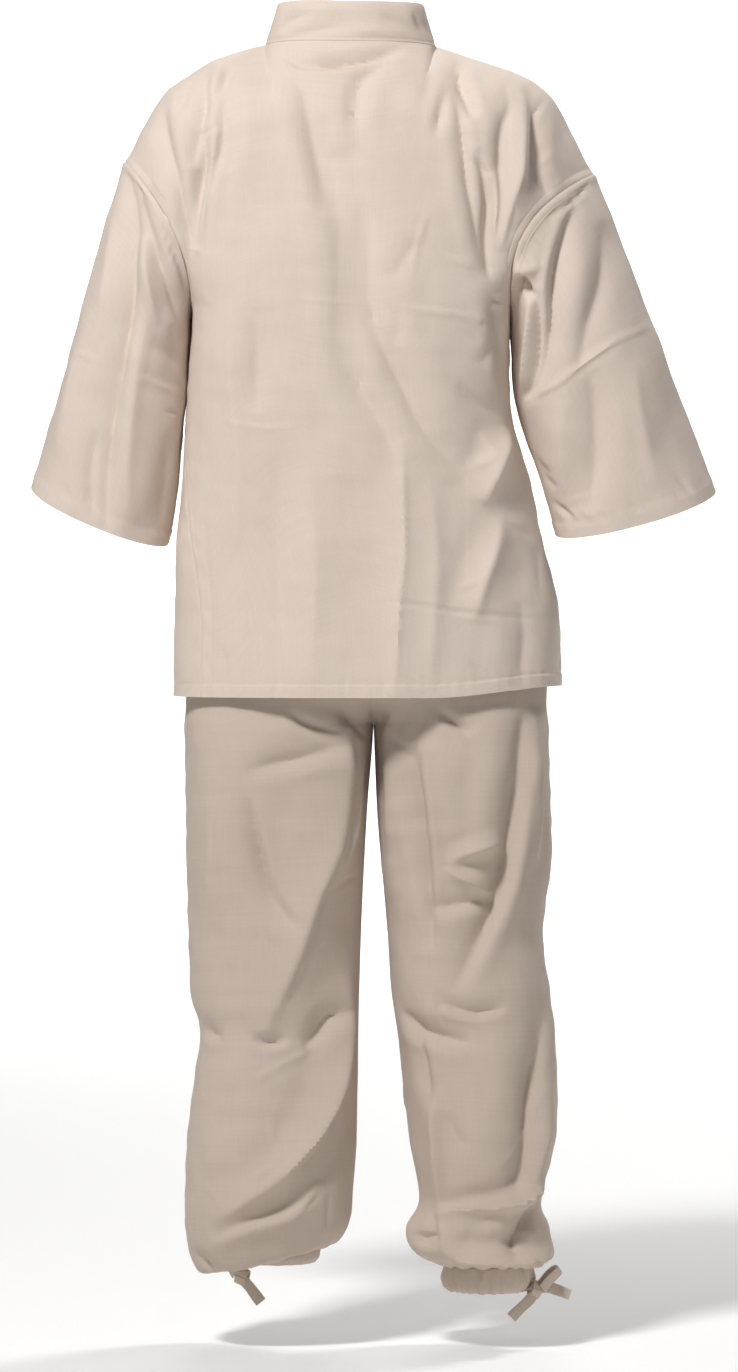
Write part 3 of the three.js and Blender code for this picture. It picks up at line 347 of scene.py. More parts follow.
def lower_point(angle, drop):
    """A point from the underarm, where drop is 0, to the hem, where it is 1."""
    z = lerp(underarm_z, -jacket_length, drop)
    left, right = read_at(body_sections, 1, z), read_at(body_sections, 2, z)
    power = 2 / section_exponent(1 + drop)
    x = (left + right) / 2 + signed_power(np.cos(angle), power) * (left - right) / 2
    facing = np.where(np.sin(angle) >= 0, 1, -1)
    y = facing * body_depth(facing, z) * np.abs(np.sin(angle)) ** power
    hem_rise = hem_rise_right * ease((-x - 90) / 150) * np.abs(drop) ** 3
    return np.stack([x, y, z + hem_rise], -1)


def jacket_point(angle, level, facing):
    """angle is 0 at the left side and pi/2 behind; level is 0 at the shoulder, 1 underarm, 2 at the hem."""
    low = np.where(facing > 0, 0, np.where(angle > math.pi / 2, math.pi, -math.pi))
    turned = np.clip(angle, low, low + math.pi)
    power = 2 / section_exponent(np.abs(level))
    upper = upper_point(signed_power(np.cos(turned), power), np.minimum(level, 1), facing)
    lower = lower_point(angle, np.maximum(level - 1, 0))
    return np.where((level >= 1)[..., None], lower, upper)


def jacket_at(x, z, facing):
    """The point of the jacket at a place seen from behind or from in front."""
    drop = np.clip((underarm_z - z) / (jacket_length + underarm_z), 0, 1.1)
    left, right = read_at(body_sections, 1, z), read_at(body_sections, 2, z)
    across = np.clip((2 * x - left - right) / (left - right), -1, 1)
    lower = lower_point(facing * np.arccos(signed_power(across, section_exponent(1 + drop) / 2)), drop)
    u = np.full(np.shape(x), 0.5)
    for _ in range(30):
        reach = np.minimum(np.abs(x) / armhole_x(x >= 0, u), 1)
        ridge_z = shoulder_z(x >= 0, reach * armhole_top_x(x >= 0))
        u = np.clip((ridge_z - z) / (ridge_z - underarm_z), 0, 1)
    upper = upper_point(np.sign(x) * reach, u, np.full(np.shape(x), facing))
    return np.where((z < underarm_z)[..., None], lower, upper)


def smooth_path(points, pieces=8):
    """Extra points on a smooth curve through a fold's points."""
    p = np.array([points[0], *points, points[-1]], float)
    out = []
    for i in range(1, len(p) - 2):
        for t in np.linspace(0, 1, pieces, endpoint=False):
            out.append(smooth_between(*p[i - 1:i + 3], t))
    return np.array([*out, p[-2]])


# A fold's crest is round over a quarter of its half width, but over no more millimetres than this. Its sides
# fall off over a share of the half width, and the cloth dips beside it by a share of its height.
crest_limit = 3.4
fall_off = 0.62
dip_beside = 0.2
end_taper = 0.7


def fold_relief(folds, x, z):
    """How far a table of folds moves the cloth out, at places seen from behind."""
    relief = np.zeros(x.shape)
    for points, height, left_width, right_width in folds:
        path = smooth_path(points)
        steps = np.diff(path, axis=0)
        lengths = np.hypot(steps[:, 0], steps[:, 1])
        start = np.concatenate([[0], np.cumsum(lengths)])
        reach = 3 * max(left_width, right_width)
        near = ((x > path[:, 0].min() - reach) & (x < path[:, 0].max() + reach)
                & (z > path[:, 1].min() - reach) & (z < path[:, 1].max() + reach))
        if not near.any():
            continue
        px, pz = x[near], z[near]
        best = np.full(px.shape, 1e9)
        side = np.zeros(px.shape)
        along = np.zeros(px.shape)
        for i, (step, length) in enumerate(zip(steps, lengths)):
            rx, rz = px - path[i, 0], pz - path[i, 1]
            t = np.clip((rx * step[0] + rz * step[1]) / length ** 2, 0, 1)
            dx, dz = rx - t * step[0], rz - t * step[1]
            distance = np.hypot(dx, dz)
            closer = distance < best
            best = np.where(closer, distance, best)
            side = np.where(closer, np.sign(rx * step[1] - rz * step[0]), side)
            along = np.where(closer, (start[i] + t * length) / start[-1], along)
        width = np.where(side > 0, right_width, left_width)
        taper = np.sin(np.pi * np.clip(along, 0.001, 0.999)) ** end_taper
        crest = np.minimum(0.25 * width, crest_limit)
        profile = np.exp((crest - np.sqrt(best ** 2 + crest ** 2)) / (fall_off * width))
        relief[near] += height * taper * (profile - dip_beside * np.exp(-(best / width - 2) ** 2))
    return relief


def cloth_noise(p, size, seed):
    """A smooth unevenness of the cloth, from a few waves whose lengths are about size."""
    wave_count = 14
    rng = np.random.default_rng(seed)
    total = np.zeros(p.shape[:-1])
    for _ in range(wave_count):
        direction = rng.normal(size=3)
        direction *= 2 * math.pi / (size * rng.uniform(0.7, 1.6) * np.linalg.norm(direction))
        total += np.sin(p @ direction + rng.uniform(0, 2 * math.pi))
    return total / math.sqrt(wave_count)


def spaced(length, step, start=(), end=()):
    """Places from 0 to 1 along a length, about a step apart, with extra ones near either end."""
    middle = np.linspace(0, length, max(int(round(length / step)), 2) + 1)
    low = max(start, default=0) + step * 0.6
    high = length - max(end, default=0) - step * 0.6
    inner = middle[(middle > low) & (middle < high)]
    places = np.concatenate([[0], start, inner, [length - e for e in end], [length]])
    return np.unique(places) / length


def grid_normals(points, tube):
    """Unit normals of a grid of points."""
    rows = np.gradient(points, axis=0)
    if tube:
        wide = np.concatenate([points[:, -1:], points, points[:, :1]], axis=1)
        columns = (wide[:, 2:] - wide[:, :-2]) / 2
    else:
        columns = np.gradient(points, axis=1)
    normals = np.cross(columns, rows)
    return normals / np.maximum(np.linalg.norm(normals, axis=-1, keepdims=True), 1e-9)


def edge_distances(points):
    """How far each point of a grid is over the cloth from its first column, last column, top and foot."""
    across = np.linalg.norm(np.diff(points, axis=1), axis=-1)
    across = np.concatenate([np.zeros((len(points), 1)), np.cumsum(across, axis=1)], axis=1)
    down = np.linalg.norm(np.diff(points, axis=0), axis=-1)
    down = np.concatenate([np.zeros((1, points.shape[1])), np.cumsum(down, axis=0)], axis=0)
    return across, across[:, -1:] - across, down, down[-1:] - down


def cloth_piece(name, surface, u, v, outward, relief, material, tube=False, thickness=cloth,
                smooth=lambda base: base):
    """A thin closed shell from a surface of the garment, with folds moved out of it, as a Blender object.
    thickness is a number, or a function of the distances from the edges."""
    columns, rows = np.meshgrid(u[:-1] if tube else u, v)
    step = 1e-3
    base = smooth(surface(columns, rows))
    across_u = surface(columns + step, rows) - surface(columns - step, rows)
    across_v = surface(columns, rows + step) - surface(columns, rows - step)
    normals = np.cross(across_u, across_v)
    normals *= outward / np.maximum(np.linalg.norm(normals, axis=-1, keepdims=True), 1e-12)
    distances = edge_distances(base)
    outer = base + normals * relief(base, normals, columns, rows, distances)[..., None]
    outer_normals = grid_normals(outer, tube)
    outer_normals *= np.sign(np.sum(outer_normals * normals, axis=-1, keepdims=True) + 1e-9)
    depth = thickness(distances) if callable(thickness) else np.full(columns.shape, thickness)
    inner = outer - outer_normals * depth[..., None]
    return shell_object(name, outer, inner, distances, material, tube)


def shell_object(name, outer, inner, distances, material, tube):
    """The closed mesh between an outer and an inner grid, with its UV map in metres of cloth."""
    row_count, column_count = outer.shape[:2]
    count = row_count * column_count
    ids = np.arange(count).reshape(row_count, column_count)
    if tube:
        ids = np.concatenate([ids, ids[:, :1]], axis=1)
    a, b, c, d = ids[:-1, :-1], ids[1:, :-1], ids[1:, 1:], ids[:-1, 1:]
    quads = np.stack([a, b, c, d], -1).reshape(-1, 4)
    faces = [quads, quads[:, ::-1] + count]
    for line, turned in ((ids[0], False), (ids[-1], True)):
        strip = np.stack([line[:-1], line[1:], line[1:] + count, line[:-1] + count], -1)
        faces.append(strip[:, ::-1] if turned else strip)
    if not tube:
        for line, turned in ((ids[:, 0], True), (ids[:, -1], False)):
            strip = np.stack([line[:-1], line[1:], line[1:] + count, line[:-1] + count], -1)
            faces.append(strip[:, ::-1] if turned else strip)
    faces = np.concatenate(faces)
    points = np.concatenate([outer.reshape(-1, 3), inner.reshape(-1, 3)])
    corners = points[faces]
    volume = np.einsum("ij,ij->", corners[:, 0], np.cross(corners[:, 1], corners[:, 2]))
    volume += np.einsum("ij,ij->", corners[:, 0], np.cross(corners[:, 2], corners[:, 3]))
    if volume < 0:
        faces = faces[:, ::-1]
    cloth_x = distances[0] - distances[0][:, distances[0].shape[1] // 2][:, None]
    flat = np.stack([cloth_x.reshape(-1), -distances[2].reshape(-1)], -1)
    return mesh_object(name, points, faces.tolist(), np.concatenate([flat, flat]), 48, material)


def mesh_object(name, points, faces, flat, sharp_angle, material):
    """A smooth mesh from points, faces and each point's place on the flat cloth, all in millimetres."""
    mesh = bpy.data.meshes.new(name)
    mesh.from_pydata((points / 1000).tolist(), [], faces)
    mesh.validate()
    layer = mesh.uv_layers.new(name="cloth")
    loops = np.zeros(len(mesh.loops), int)
    mesh.loops.foreach_get("vertex_index", loops)
    layer.data.foreach_set("uv", (flat / 1000)[loops].reshape(-1))
    mesh.polygons.foreach_set("use_smooth", np.ones(len(mesh.polygons), bool))
    mesh.set_sharp_from_angle(angle=math.radians(sharp_angle))
    mesh.materials.append(material)
    piece = bpy.data.objects.new(name, mesh)
    bpy.context.scene.collection.objects.link(piece)
    return piece


def cotton_material(name, body, shadow, seed):
    """Plain woven cotton, matt, with slubs along both threads and a faint sheen of short fibres. Its real
    threads are 0.5 mm apart, too fine for the picture, so they are drawn as uneven streaks 2 mm wide."""
    streak_width, streak_length = 0.002, 0.05
    material, tree = new_material(name)
    place = add_node(tree, "ShaderNodeUVMap", {"uv_map": "cloth"})
    slubs = []
    for across, along in ((1 / streak_width, 1 / streak_length), (0.6 / streak_length, 0.8 / streak_width)):
        spread = add_node(tree, "ShaderNodeMapping", {"vector_type": "POINT"}, {"Vector": (place, "UV")},
                          Scale=(across, along, 1), Location=(seed, seed * 0.7, 0))
        slubs.append(add_node(tree, "ShaderNodeTexNoise", {"noise_dimensions": "2D"},
                              {"Vector": (spread, "Vector")}, Scale=1.0, Detail=2.0, Roughness=0.5))
    both = add_node(tree, "ShaderNodeMath", {"operation": "ADD"},
                    {0: (slubs[0], "Fac"), 1: (slubs[1], "Fac")})
    object_place = add_node(tree, "ShaderNodeTexCoord")
    patches = add_node(tree, "ShaderNodeTexNoise", None, {"Vector": (object_place, "Object")},
                       Scale=6.0, Detail=3.0, Roughness=0.5)
    mixed = add_node(tree, "ShaderNodeMath", {"operation": "MULTIPLY_ADD"},
                     {0: (both, "Value"), 2: (patches, "Fac")})
    mixed.inputs[1].default_value = 0.5
    tone = add_node(tree, "ShaderNodeMapRange", None, {"Value": (mixed, "Value")},
                    From_Min=0.45, From_Max=1.55)
    # Sockets 6 and 7 of a Mix node are its two colours.
    colour = add_node(tree, "ShaderNodeMix", {"data_type": "RGBA"}, {0: (tone, "Result")})
    colour.inputs[6].default_value = linear_colour(shadow)
    colour.inputs[7].default_value = linear_colour(body)
    bump = add_node(tree, "ShaderNodeBump", None, {"Height": (both, "Value")}, Strength=0.3, Distance=0.0003)
    shader = add_node(tree, "ShaderNodeBsdfPrincipled", None,
                      {"Base_Color": (colour, 2), "Normal": (bump, "Normal")},
                      Roughness=0.88, Sheen_Weight=0.05, Sheen_Roughness=0.5, IOR=1.45,
                      Specular_IOR_Level=0.2)
    add_node(tree, "ShaderNodeOutputMaterial", links={"Surface": (shader, "BSDF")})
    return material


# Unbleached yarn gives a warm, chalky beige with slubs a shade darker, and hardly any shine.
jacket_cotton = cotton_material("plain woven ecru cotton", "#DCCDC1", "#D0C1B4", 3.0)


def facing_share(normals):
    """Folds fade where the cloth turns away to the side, because their tables are drawn from behind."""
    return ease((np.abs(normals[..., 1]) - 0.22) / 0.45)


def body_reach(p):
    """How near a point of the jacket is to its armhole: 0 at the middle and 1 at the armhole."""
    left = p[..., 0] >= 0
    top_z = np.where(left, armhole_top_z["left"], armhole_top_z["right"])
    return np.clip(np.abs(p[..., 0]) / armhole_x(left, (p[..., 2] - top_z) / (underarm_z - top_z)), 0, 1)


def hem_puckers(along, from_stitches):
    """The cloth draws up a little along a row of stitches."""
    uneven = 0.6 + 0.4 * np.sin(along / 31) * np.sin(along / 13 + 1)
    return 0.45 * uneven * np.cos(along / 2.4) * near_line(from_stitches, 7)


def seam_puckers(turn, from_stitches, height):
    """Short puckers across the stitches of a long seam, one for each turn."""
    return height * np.cos(turn) * near_line(from_stitches, 6)


def turned_hem(foot, depth):
    """The step of a hem's second layer of cloth, and its stitches sunk in it."""
    return 0.9 * ease((depth + 1 - foot) / 2) - 0.8 * near_line(foot - depth, 1.4)


def back_relief(p, n, u, v, distances):
    first, last, top, foot = distances
    side = np.minimum(first, last)
    fade = ease(side / 14) * ease(top / 14)
    relief = fold_relief(back_folds, p[..., 0], p[..., 2]) * facing_share(n) * fade
    relief += fold_relief(back_creases, p[..., 0], p[..., 2]) * facing_share(n) * ease(side / 8)
    relief += cloth_noise(p, 95, 4) * 0.8 * fade
    relief += cloth_noise(p, 34, 5) * 0.28 * fade
    from_stitches = side - stitches_from_side
    relief += seam_puckers(p[..., 2] / 5.2, from_stitches, 0.5)
    relief -= 0.7 * near_line(side, 1.6) + 0.5 * near_line(from_stitches, 1.1)
    relief += turned_hem(foot, hem_depth)
    return relief + hem_puckers(first, foot - hem_depth)


def soften_underarm(base):
    """Spreads the body's change of section at the underarm over more cloth, away from the side seams."""
    passes = 160
    top, foot = underarm_z + 70, underarm_z - 60
    soft = base[..., 1].copy()
    for _ in range(passes):
        soft[1:-1] = (soft[:-2] + 2 * soft[1:-1] + soft[2:]) / 4
    near = ease((top - base[..., 2]) / 40) * ease((base[..., 2] - foot) / 40)
    first, last, _, _ = edge_distances(base)
    near = near * ease((np.minimum(first, last) - 4) / 30)
    softened = base.copy()
    softened[..., 1] = lerp(base[..., 1], soft, near)
    return softened


def hemmed(depth):
    """The thickness of a piece whose foot is turned up to a depth."""
    return lambda distances: np.where(distances[3] < depth + 1, hem_thickness, cloth)


def side_seam_angle(level, wearer_side):
    """The side seams run a little towards the back below the underarm."""
    drift = math.radians(seam_drift[wearer_side]) * ease((level - 1.1) / 0.75)
    return drift if wearer_side == "left" else math.pi - drift


def back_surface(u, v):
    level = v * 2
    angle = lerp(side_seam_angle(level, "left"), side_seam_angle(level, "right"), u)
    return jacket_point(angle, level, np.ones(np.shape(u)))


def body_places(step):
    """Rows from the shoulder to the hem: level 1, the underarm, is halfway in the table but not in length."""
    above = spaced(-underarm_z, step, start=(1, 3))
    below = spaced(jacket_length + underarm_z, step, end=(3, 8, 12, 13.4, 15, 16.6, 18, 23))
    return np.concatenate([above / 2, 0.5 + below[1:] / 2])


back_width = 560
mesh_step = 3.1
seam_columns = (0.8, 2.2, 5, 7.4, 9, 10.6, 14)
jacket_back = cloth_piece(
    "jacket_back_panel", back_surface, spaced(back_width, mesh_step, seam_columns, seam_columns),
    body_places(mesh_step), -1, back_relief, jacket_cotton, thickness=hemmed(hem_depth),
    smooth=soften_underarm)
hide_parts("jacket_back")
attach(jacket_back, "root")

# Jacket fronts
# Two panels of the same cotton, the left one wrapped over the right. Their inner edges are cut on a slant
# and sewn to the collar band, and their side seams are felled to the back.
layer_offset = 3
# Columns: height of the left front's collar seam, its x, width of the band.
collar_seam = [
    (0, 97, 50), (-60, 95, 50), (-120, 81, 50), (-200, 44, 50), (-280, 4, 50), (-360, -36, 50),
    (-440, -74, 46), (-500, -98, 28), (-564, -122, 8), (-620, -128, 8), (-740, -128, 8),
]
# The same columns as the back's folds, with x and z as seen from behind here too.
front_folds = [
    ([(210, -64), (196, -120), (178, -190), (166, -262)], -8, 12, 15),
    ([(160, -70), (166, -130), (152, -200), (146, -266)], 6, 16, 15),
    ([(186, -175), (174, -222), (160, -264)], -7, 10, 14),
    ([(-150, -70), (-158, -150), (-146, -270)], 6, 16, 13),
    ([(-200, -70), (-186, -140), (-166, -262)], -9, 13, 14),
    ([(-176, -190), (-164, -230), (-148, -266)], -6, 12, 9),
    ([(150, -360), (60, -420), (-60, -478)], -7, 16, 20),
    ([(150, -430), (70, -480), (-10, -512)], 6, 16, 20),
    ([(124, -330), (76, -366), (10, -410)], -5.5, 14, 20),
    ([(-160, -330), (-120, -400), (-96, -470)], -5, 14, 18),
    ([(-180, -420), (-160, -470), (-130, -520)], 5, 12, 14),
    ([(96, -520), (104, -620), (112, -735)], 7.5, 26, 22),
    ([(30, -530), (26, -630), (38, -735)], -7.5, 22, 26),
    ([(-50, -560), (-54, -650), (-48, -735)], 6.5, 24, 18),
    ([(160, -560), (168, -640), (170, -735)], -6, 16, 24),
    ([(124, -130), (110, -220), (94, -310), (86, -390)], -6, 14, 24),
    ([(70, -170), (34, -260), (-14, -350)], 5, 16, 24),
]
front_creases = [
    ([(40, -400), (42, -560), (40, -738)], 1.0, 3.5, 3.5),
    ([(-90, -640), (30, -634), (160, -640)], 0.8, 3.5, 3.5),
    ([(130, -90), (132, -180), (130, -268)], 0.7, 3.5, 3.5),
]


def collar_seam_angle(level, wearer_side):
    """The angle at which a level of the front reaches the collar seam."""
    left = wearer_side == "left"
    sideways = np.full(np.shape(level), 0 if left else math.pi, float)
    beyond = np.full(np.shape(level), -math.pi if left else 2 * math.pi, float)
    for _ in range(34):
        middle = (sideways + beyond) / 2
        p = jacket_point(middle, level, -np.ones(np.shape(level)))
        reaches = (1 if left else -1) * p[..., 0] > read_at(collar_seam, 1, p[..., 2])
        sideways = np.where(reaches, middle, sideways)
        beyond = np.where(reaches, beyond, middle)
    return (sideways + beyond) / 2


def layering(p, sign):
    """The left front lies over the right one, so they stand apart where they cross; sign is 1 on the left."""
    return sign * layer_offset * ease((170 - np.abs(p[..., 0])) / 60) * ease((-p[..., 2] - 40) / 120)


def front_surface(wearer_side):
    def surface(u, v):
        level = v[:, :1] * 2
        angle = lerp(side_seam_angle(level, wearer_side), collar_seam_angle(level, wearer_side), u)
        return jacket_point(angle, np.broadcast_to(level, u.shape), -np.ones(u.shape))
    return surface


def front_folds_relief(p, n):
    """The fronts' folds, which the collar on them takes up too. They fade at the shoulders and the sides."""
    forward = np.where(p[..., 1] < 0, ease(-p[..., 1] / 60), 0)
    relief = fold_relief(front_folds, p[..., 0], p[..., 2]) * facing_share(n) * forward
    relief *= ease((1 - body_reach(p)) / 0.1) * ease(-p[..., 2] / 60)
    return relief + fold_relief(front_creases, p[..., 0], p[..., 2]) * facing_share(n) * forward


def front_relief(wearer_side):
    def relief(p, n, u, v, distances):
        side, edge, top, foot = distances
        total = front_folds_relief(p, n) * ease(side / 20)
        total += layering(p, 1 if wearer_side == "left" else -1)
        fade = ease(side / 26) * ease(top / 30) * ease(edge / 14)
        total += (cloth_noise(p, 95, 7) * 0.8 + cloth_noise(p, 34, 8) * 0.28) * fade
        total += seam_puckers(p[..., 2] / 5.6, side - 7, 0.45)
        total -= 0.7 * near_line(side, 1.6) + 0.4 * near_line(edge, 1.6)
        return total - 0.5 * near_line(foot - hem_depth, 1.2)
    return relief


front_width = 330
front_mesh_step = 4.2
front_seam_columns = (0.8, 2.2, 5)
for wearer_side, outward in (("left", 1), ("right", -1)):
    front = cloth_piece(
        f"jacket_front_{wearer_side}_panel", front_surface(wearer_side),
        spaced(front_width, front_mesh_step, front_seam_columns, front_seam_columns),
        body_places(front_mesh_step), outward, front_relief(wearer_side), jacket_cotton,
        thickness=hemmed(hem_depth))
    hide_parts(f"jacket_front_{wearer_side}")
    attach(front, "root")

# Collar
# A folded band of the same cotton, 50 mm wide and two layers thick with a seam allowance inside, so that it
# stands up behind the neck and lies flat down both fronts.
collar_thickness = 2.4
collar_height = 46.0
front_part = 0.86
neck_sides = (0.43, 0.57)
lies_flat_within = 130
collar_end = 1.6
# The same columns as the back's folds.
collar_folds = [
    ([(79, 11), (70, 23), (47, 31)], -3, 7, 6),
    ([(75, 7), (43, 11), (2, 18)], -2.5, 6, 7),
    ([(61, 34), (23, 37), (-16, 34)], 2, 7, 7),
    ([(-34, 29), (-56, 21), (-79, 11)], -3, 6, 7),
    ([(-70, 34), (-76, 23), (-84, 12)], -3, 3, 4),
    ([(0, 9), (-28, 12), (-56, 7)], 2, 6, 6),
]
seam_gap = 0.3


def standing(x, share):
    """How the band stands above the neck seam: upright behind, and leaning in at the sides."""
    lean = np.stack([-0.14 * x, 13 * (x / neck_half_width) ** 2 - 7, np.full(np.shape(x), collar_height)], -1)
    return lean * share[..., None]


def collar_surface(share, v):
    """share runs across the band from its seam; v is 0 at the foot of the left front and 1 at the right's."""
    station = (v - 0.5) * 2
    place = np.clip((np.abs(station) - (1 - front_part)) / front_part, 0, 1)
    result = np.zeros((*share.shape, 3))
    for wearer_side, sign in (("left", 1), ("right", -1)):
        side = (station < 0) if wearer_side == "left" else (station >= 0)
        level = (place * collar_end)[:, :1]
        seam_point = lambda at: jacket_point(collar_seam_angle(at, wearer_side), at, -np.ones(np.shape(at)))
        here = seam_point(level)
        along = seam_point(level + 2e-3) - seam_point(np.maximum(level - 2e-3, 0))
        length = np.hypot(along[..., 0], along[..., 2])
        slope_x, slope_z = along[..., 0] / length, along[..., 2] / length
        width = read_at(collar_seam, 2, here[..., 2]) * share
        lying = jacket_at(here[..., 0] + slope_z * sign * width,
                          np.minimum(here[..., 2] - slope_x * sign * width, -1), -1)
        raised = here + standing(np.full(share.shape, sign * float(neck_half_width)), share)
        flat = ease((-here[..., 2] - 5) / lies_flat_within)
        front = raised + (lying - raised) * flat[..., None]
        turn = math.pi / 2 * (1 + station / (1 - front_part))
        x = neck_half_width * np.cos(turn)
        z = shoulder_z(x >= 0, np.abs(x)) + seam_gap
        behind = np.stack([x, neck_back_depth * np.sin(turn), z], -1) + standing(x, share)
        piece = np.where((np.abs(station) < 1 - front_part)[..., None], behind, front)
        result = np.where(side[..., None], piece, result)
    return result


def collar_relief(p, n, u, v, distances):
    seam_side, free_side, _, _ = distances
    forward = p[..., 1] < 0
    lift = layering(p, np.where(v < 0.5, 1, -1))
    relief = np.where(forward, front_folds_relief(p, n) + lift, 0)
    relief += np.where(forward, 0, fold_relief(collar_folds, p[..., 0], p[..., 2])) * ease(free_side / 6)
    relief += cloth_noise(p, 60, 11) * 0.9 * ease(seam_side / 12)
    relief -= 0.5 * near_line(seam_side - 3, 1)
    return relief - 0.9 * near_line(free_side, 1.4)


def collar_places():
    """Stations about 4 mm apart round the neck and 6 mm apart down the fronts."""
    return np.concatenate([np.linspace(0, neck_sides[0], 130, endpoint=False), np.linspace(*neck_sides, 61),
                           np.linspace(neck_sides[1], 1, 131)[1:]])


collar = cloth_piece(
    "collar_band", collar_surface, spaced(50, 3.4, (0.8, 2, 3, 4), (0.8, 2)), collar_places(), -1,
    collar_relief, jacket_cotton, thickness=collar_thickness)
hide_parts("jacket_collar")
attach(collar, "root")

# Sleeves
# Straight tubes of the same cotton set on to the dropped armholes with a felled seam, and hemmed at the wide
# cuffs. They hang from the shoulders in long soft valleys.
cuff_hem = 17
sleeve_head = 0.4
cuff_droop = 16
felled_width = 10
front_fold_drop = 34
armhole_puckers = 46
sleeve_length = 380
# Columns: share of the length, outer fold's x and z, underarm fold's x and z, half the depth, middle's y.
sleeves = {
    "left": [
        (0, 257, -133, 180.8, -300, 75, 0), (0.2, 279, -205, 183.9, -352, 77, 0),
        (0.4, 300, -278, 187.1, -406, 76, -2), (0.6, 320, -350, 190.9, -460, 74, -5),
        (0.8, 342, -428, 197, -514, 71, -8), (1, 363, -503, 208.5, -566, 67, -12),
    ],
    "right": [
        (0, -277, -147, -180.8, -300, 75, 0), (0.2, -304, -215, -182, -350, 74, 0),
        (0.4, -333, -288, -185.4, -402, 70, -2), (0.6, -360, -360, -202, -452, 66, -5),
        (0.8, -388, -433, -219, -504, 60, -8), (1, -416, -507, -233, -556, 56, -12),
    ],
}
# The same columns as the back's folds. Positive x is the left sleeve and negative x the right one.
sleeve_folds = [
    ([(255, -133), (247, -184), (245, -235), (249, -314), (258, -373), (268, -433), (273, -495),
      (275, -568)], -14.3, 26, 9),
    ([(242, -163), (229, -203), (220, -235), (210, -262), (199, -289), (188, -314), (175, -332)
      ], -8.5, 12, 8),
    ([(224, -192), (209, -231), (195, -263), (183, -295), (176, -316)], 3, 8, 6),
    ([(203, -203), (190, -231), (182, -255), (176, -296)], -11.7, 17, 7),
    ([(203, -321), (195, -341), (185, -362)], -3, 10, 8),
    ([(225, -339), (209, -351), (198, -360), (183, -376)], -3.5, 8, 12),
    ([(232, -219), (228, -269), (217, -321)], 5.2, 10, 6),
    ([(269, -167), (273, -246), (282, -337)], 6.5, 16, 12),
    ([(242, -158), (238, -167), (233, -174)], -3, 3, 3),
    ([(242, -314), (246, -405), (251, -495), (244, -551)], 6.5, 14, 22),
    ([(289, -438), (295, -495), (288, -540)], -5.2, 10, 6),
    ([(294, -502), (292, -531)], -2, 3, 3),
    ([(299, -504), (298, -527)], -2, 3, 3),
    ([(320, -499), (320, -522)], -1.6, 3, 3),
    ([(312, -292), (316, -382), (332, -472)], 5.2, 16, 16),
    ([(203, -438), (208, -495), (215, -547)], -5.2, 12, 12),
    ([(-257, -179), (-244, -210), (-234, -242), (-227, -280), (-224, -325), (-215, -373), (-200, -405)
      ], -13.0, 5, 15),
    ([(-211, -282), (-212, -325), (-209, -362), (-201, -391), (-190, -409)], -9.1, 4, 7),
    ([(-203, -287), (-203, -325), (-199, -365), (-193, -395), (-188, -409)], 7.8, 8, 4),
    ([(-190, -276), (-184, -297), (-182, -331), (-183, -365), (-188, -402)], -16.9, 10, 9),
    ([(-167, -296), (-175, -288), (-182, -278), (-191, -270), (-195, -270), (-200, -278), (-209, -293)
      ], -11.7, 9, 3),
    ([(-169, -249), (-183, -258), (-201, -260), (-215, -255)], 6.5, 7, 12),
    ([(-287, -201), (-285, -269), (-267, -325), (-255, -382)], -9.1, 16, 26),
    ([(-271, -371), (-276, -427), (-276, -484), (-269, -534)], -10.4, 24, 14),
    ([(-237, -405), (-240, -461), (-244, -523)], 5.2, 14, 14),
    ([(-319, -359), (-328, -427), (-346, -506)], 5.2, 20, 20),
    ([(-210, -467), (-217, -479), (-228, -488)], -3, 5, 4),
    ([(-216, -481), (-224, -495), (-235, -504)], -3, 5, 4),
    ([(-228, -518), (-244, -531), (-262, -547)], -2.5, 3, 3),
    ([(-237, -524), (-246, -536), (-253, -551)], -2.5, 3, 3),
    ([(-251, -524), (-260, -536), (-271, -545)], -2, 3, 3),
    ([(-280, -529), (-286, -538), (-290, -545)], -2, 3, 3),
    ([(-316, -518), (-321, -527), (-328, -533)], -2, 3, 3),
    ([(-368, -490), (-377, -499), (-384, -508)], -2, 3, 3),
    ([(-220, -203), (-237, -192), (-258, -174), (-273, -154)], -3, 3, 6),
]
sleeve_creases = [
    ([(251, -383), (232, -382), (215, -389), (188, -399)], 1.6, 5, 3),
    ([(210, -418), (197, -419), (183, -423)], -2.4, 3, 3),
    ([(316, -349), (299, -355), (281, -365)], 1.4, 3, 3),
    ([(-346, -319), (-305, -337), (-280, -353), (-254, -372), (-237, -386), (-215, -398), (-189, -410)
      ], 2.2, 5, 2.5),
    ([(-282, -511), (-254, -518), (-237, -524)], 0.9, 3, 3),
    ([(217, -160), (201, -182), (185, -208), (179, -226)], 1.6, 3, 3),
    ([(240, -159), (226, -176), (217, -188)], 1.2, 2.5, 2.5),
]


def sleeve_surface(wearer_side):
    rows = sleeves[wearer_side]

    def oval(u, v):
        at = np.clip(v, 0, 1)
        angle = 2 * math.pi * u
        share = (1 - np.cos(angle)) / 2
        middle = read_at(rows, 6, at)
        outer = np.stack([read_at(rows, 1, at), middle, read_at(rows, 2, at)], -1)
        inner = np.stack([read_at(rows, 3, at), middle, read_at(rows, 4, at)], -1)
        p = lerp(outer, inner, share[..., None])
        p[..., 1] += read_at(rows, 5, at) * np.sin(angle)
        p[..., 2] -= cuff_droop * np.sin(angle) * at ** 2
        return p

    def surface(u, v):
        turn = 2 * math.pi * u
        sign = 1.0 if wearer_side == "left" else -1.0
        edge = upper_point(np.full(u.shape, sign), (1 - np.cos(turn)) / 2, np.where(np.sin(turn) >= 0, 1, -1))
        head = np.maximum(1 - v / sleeve_head, 0) ** 2
        return oval(u, v) + (edge - oval(u, np.zeros(u.shape))) * head[..., None]
    return surface


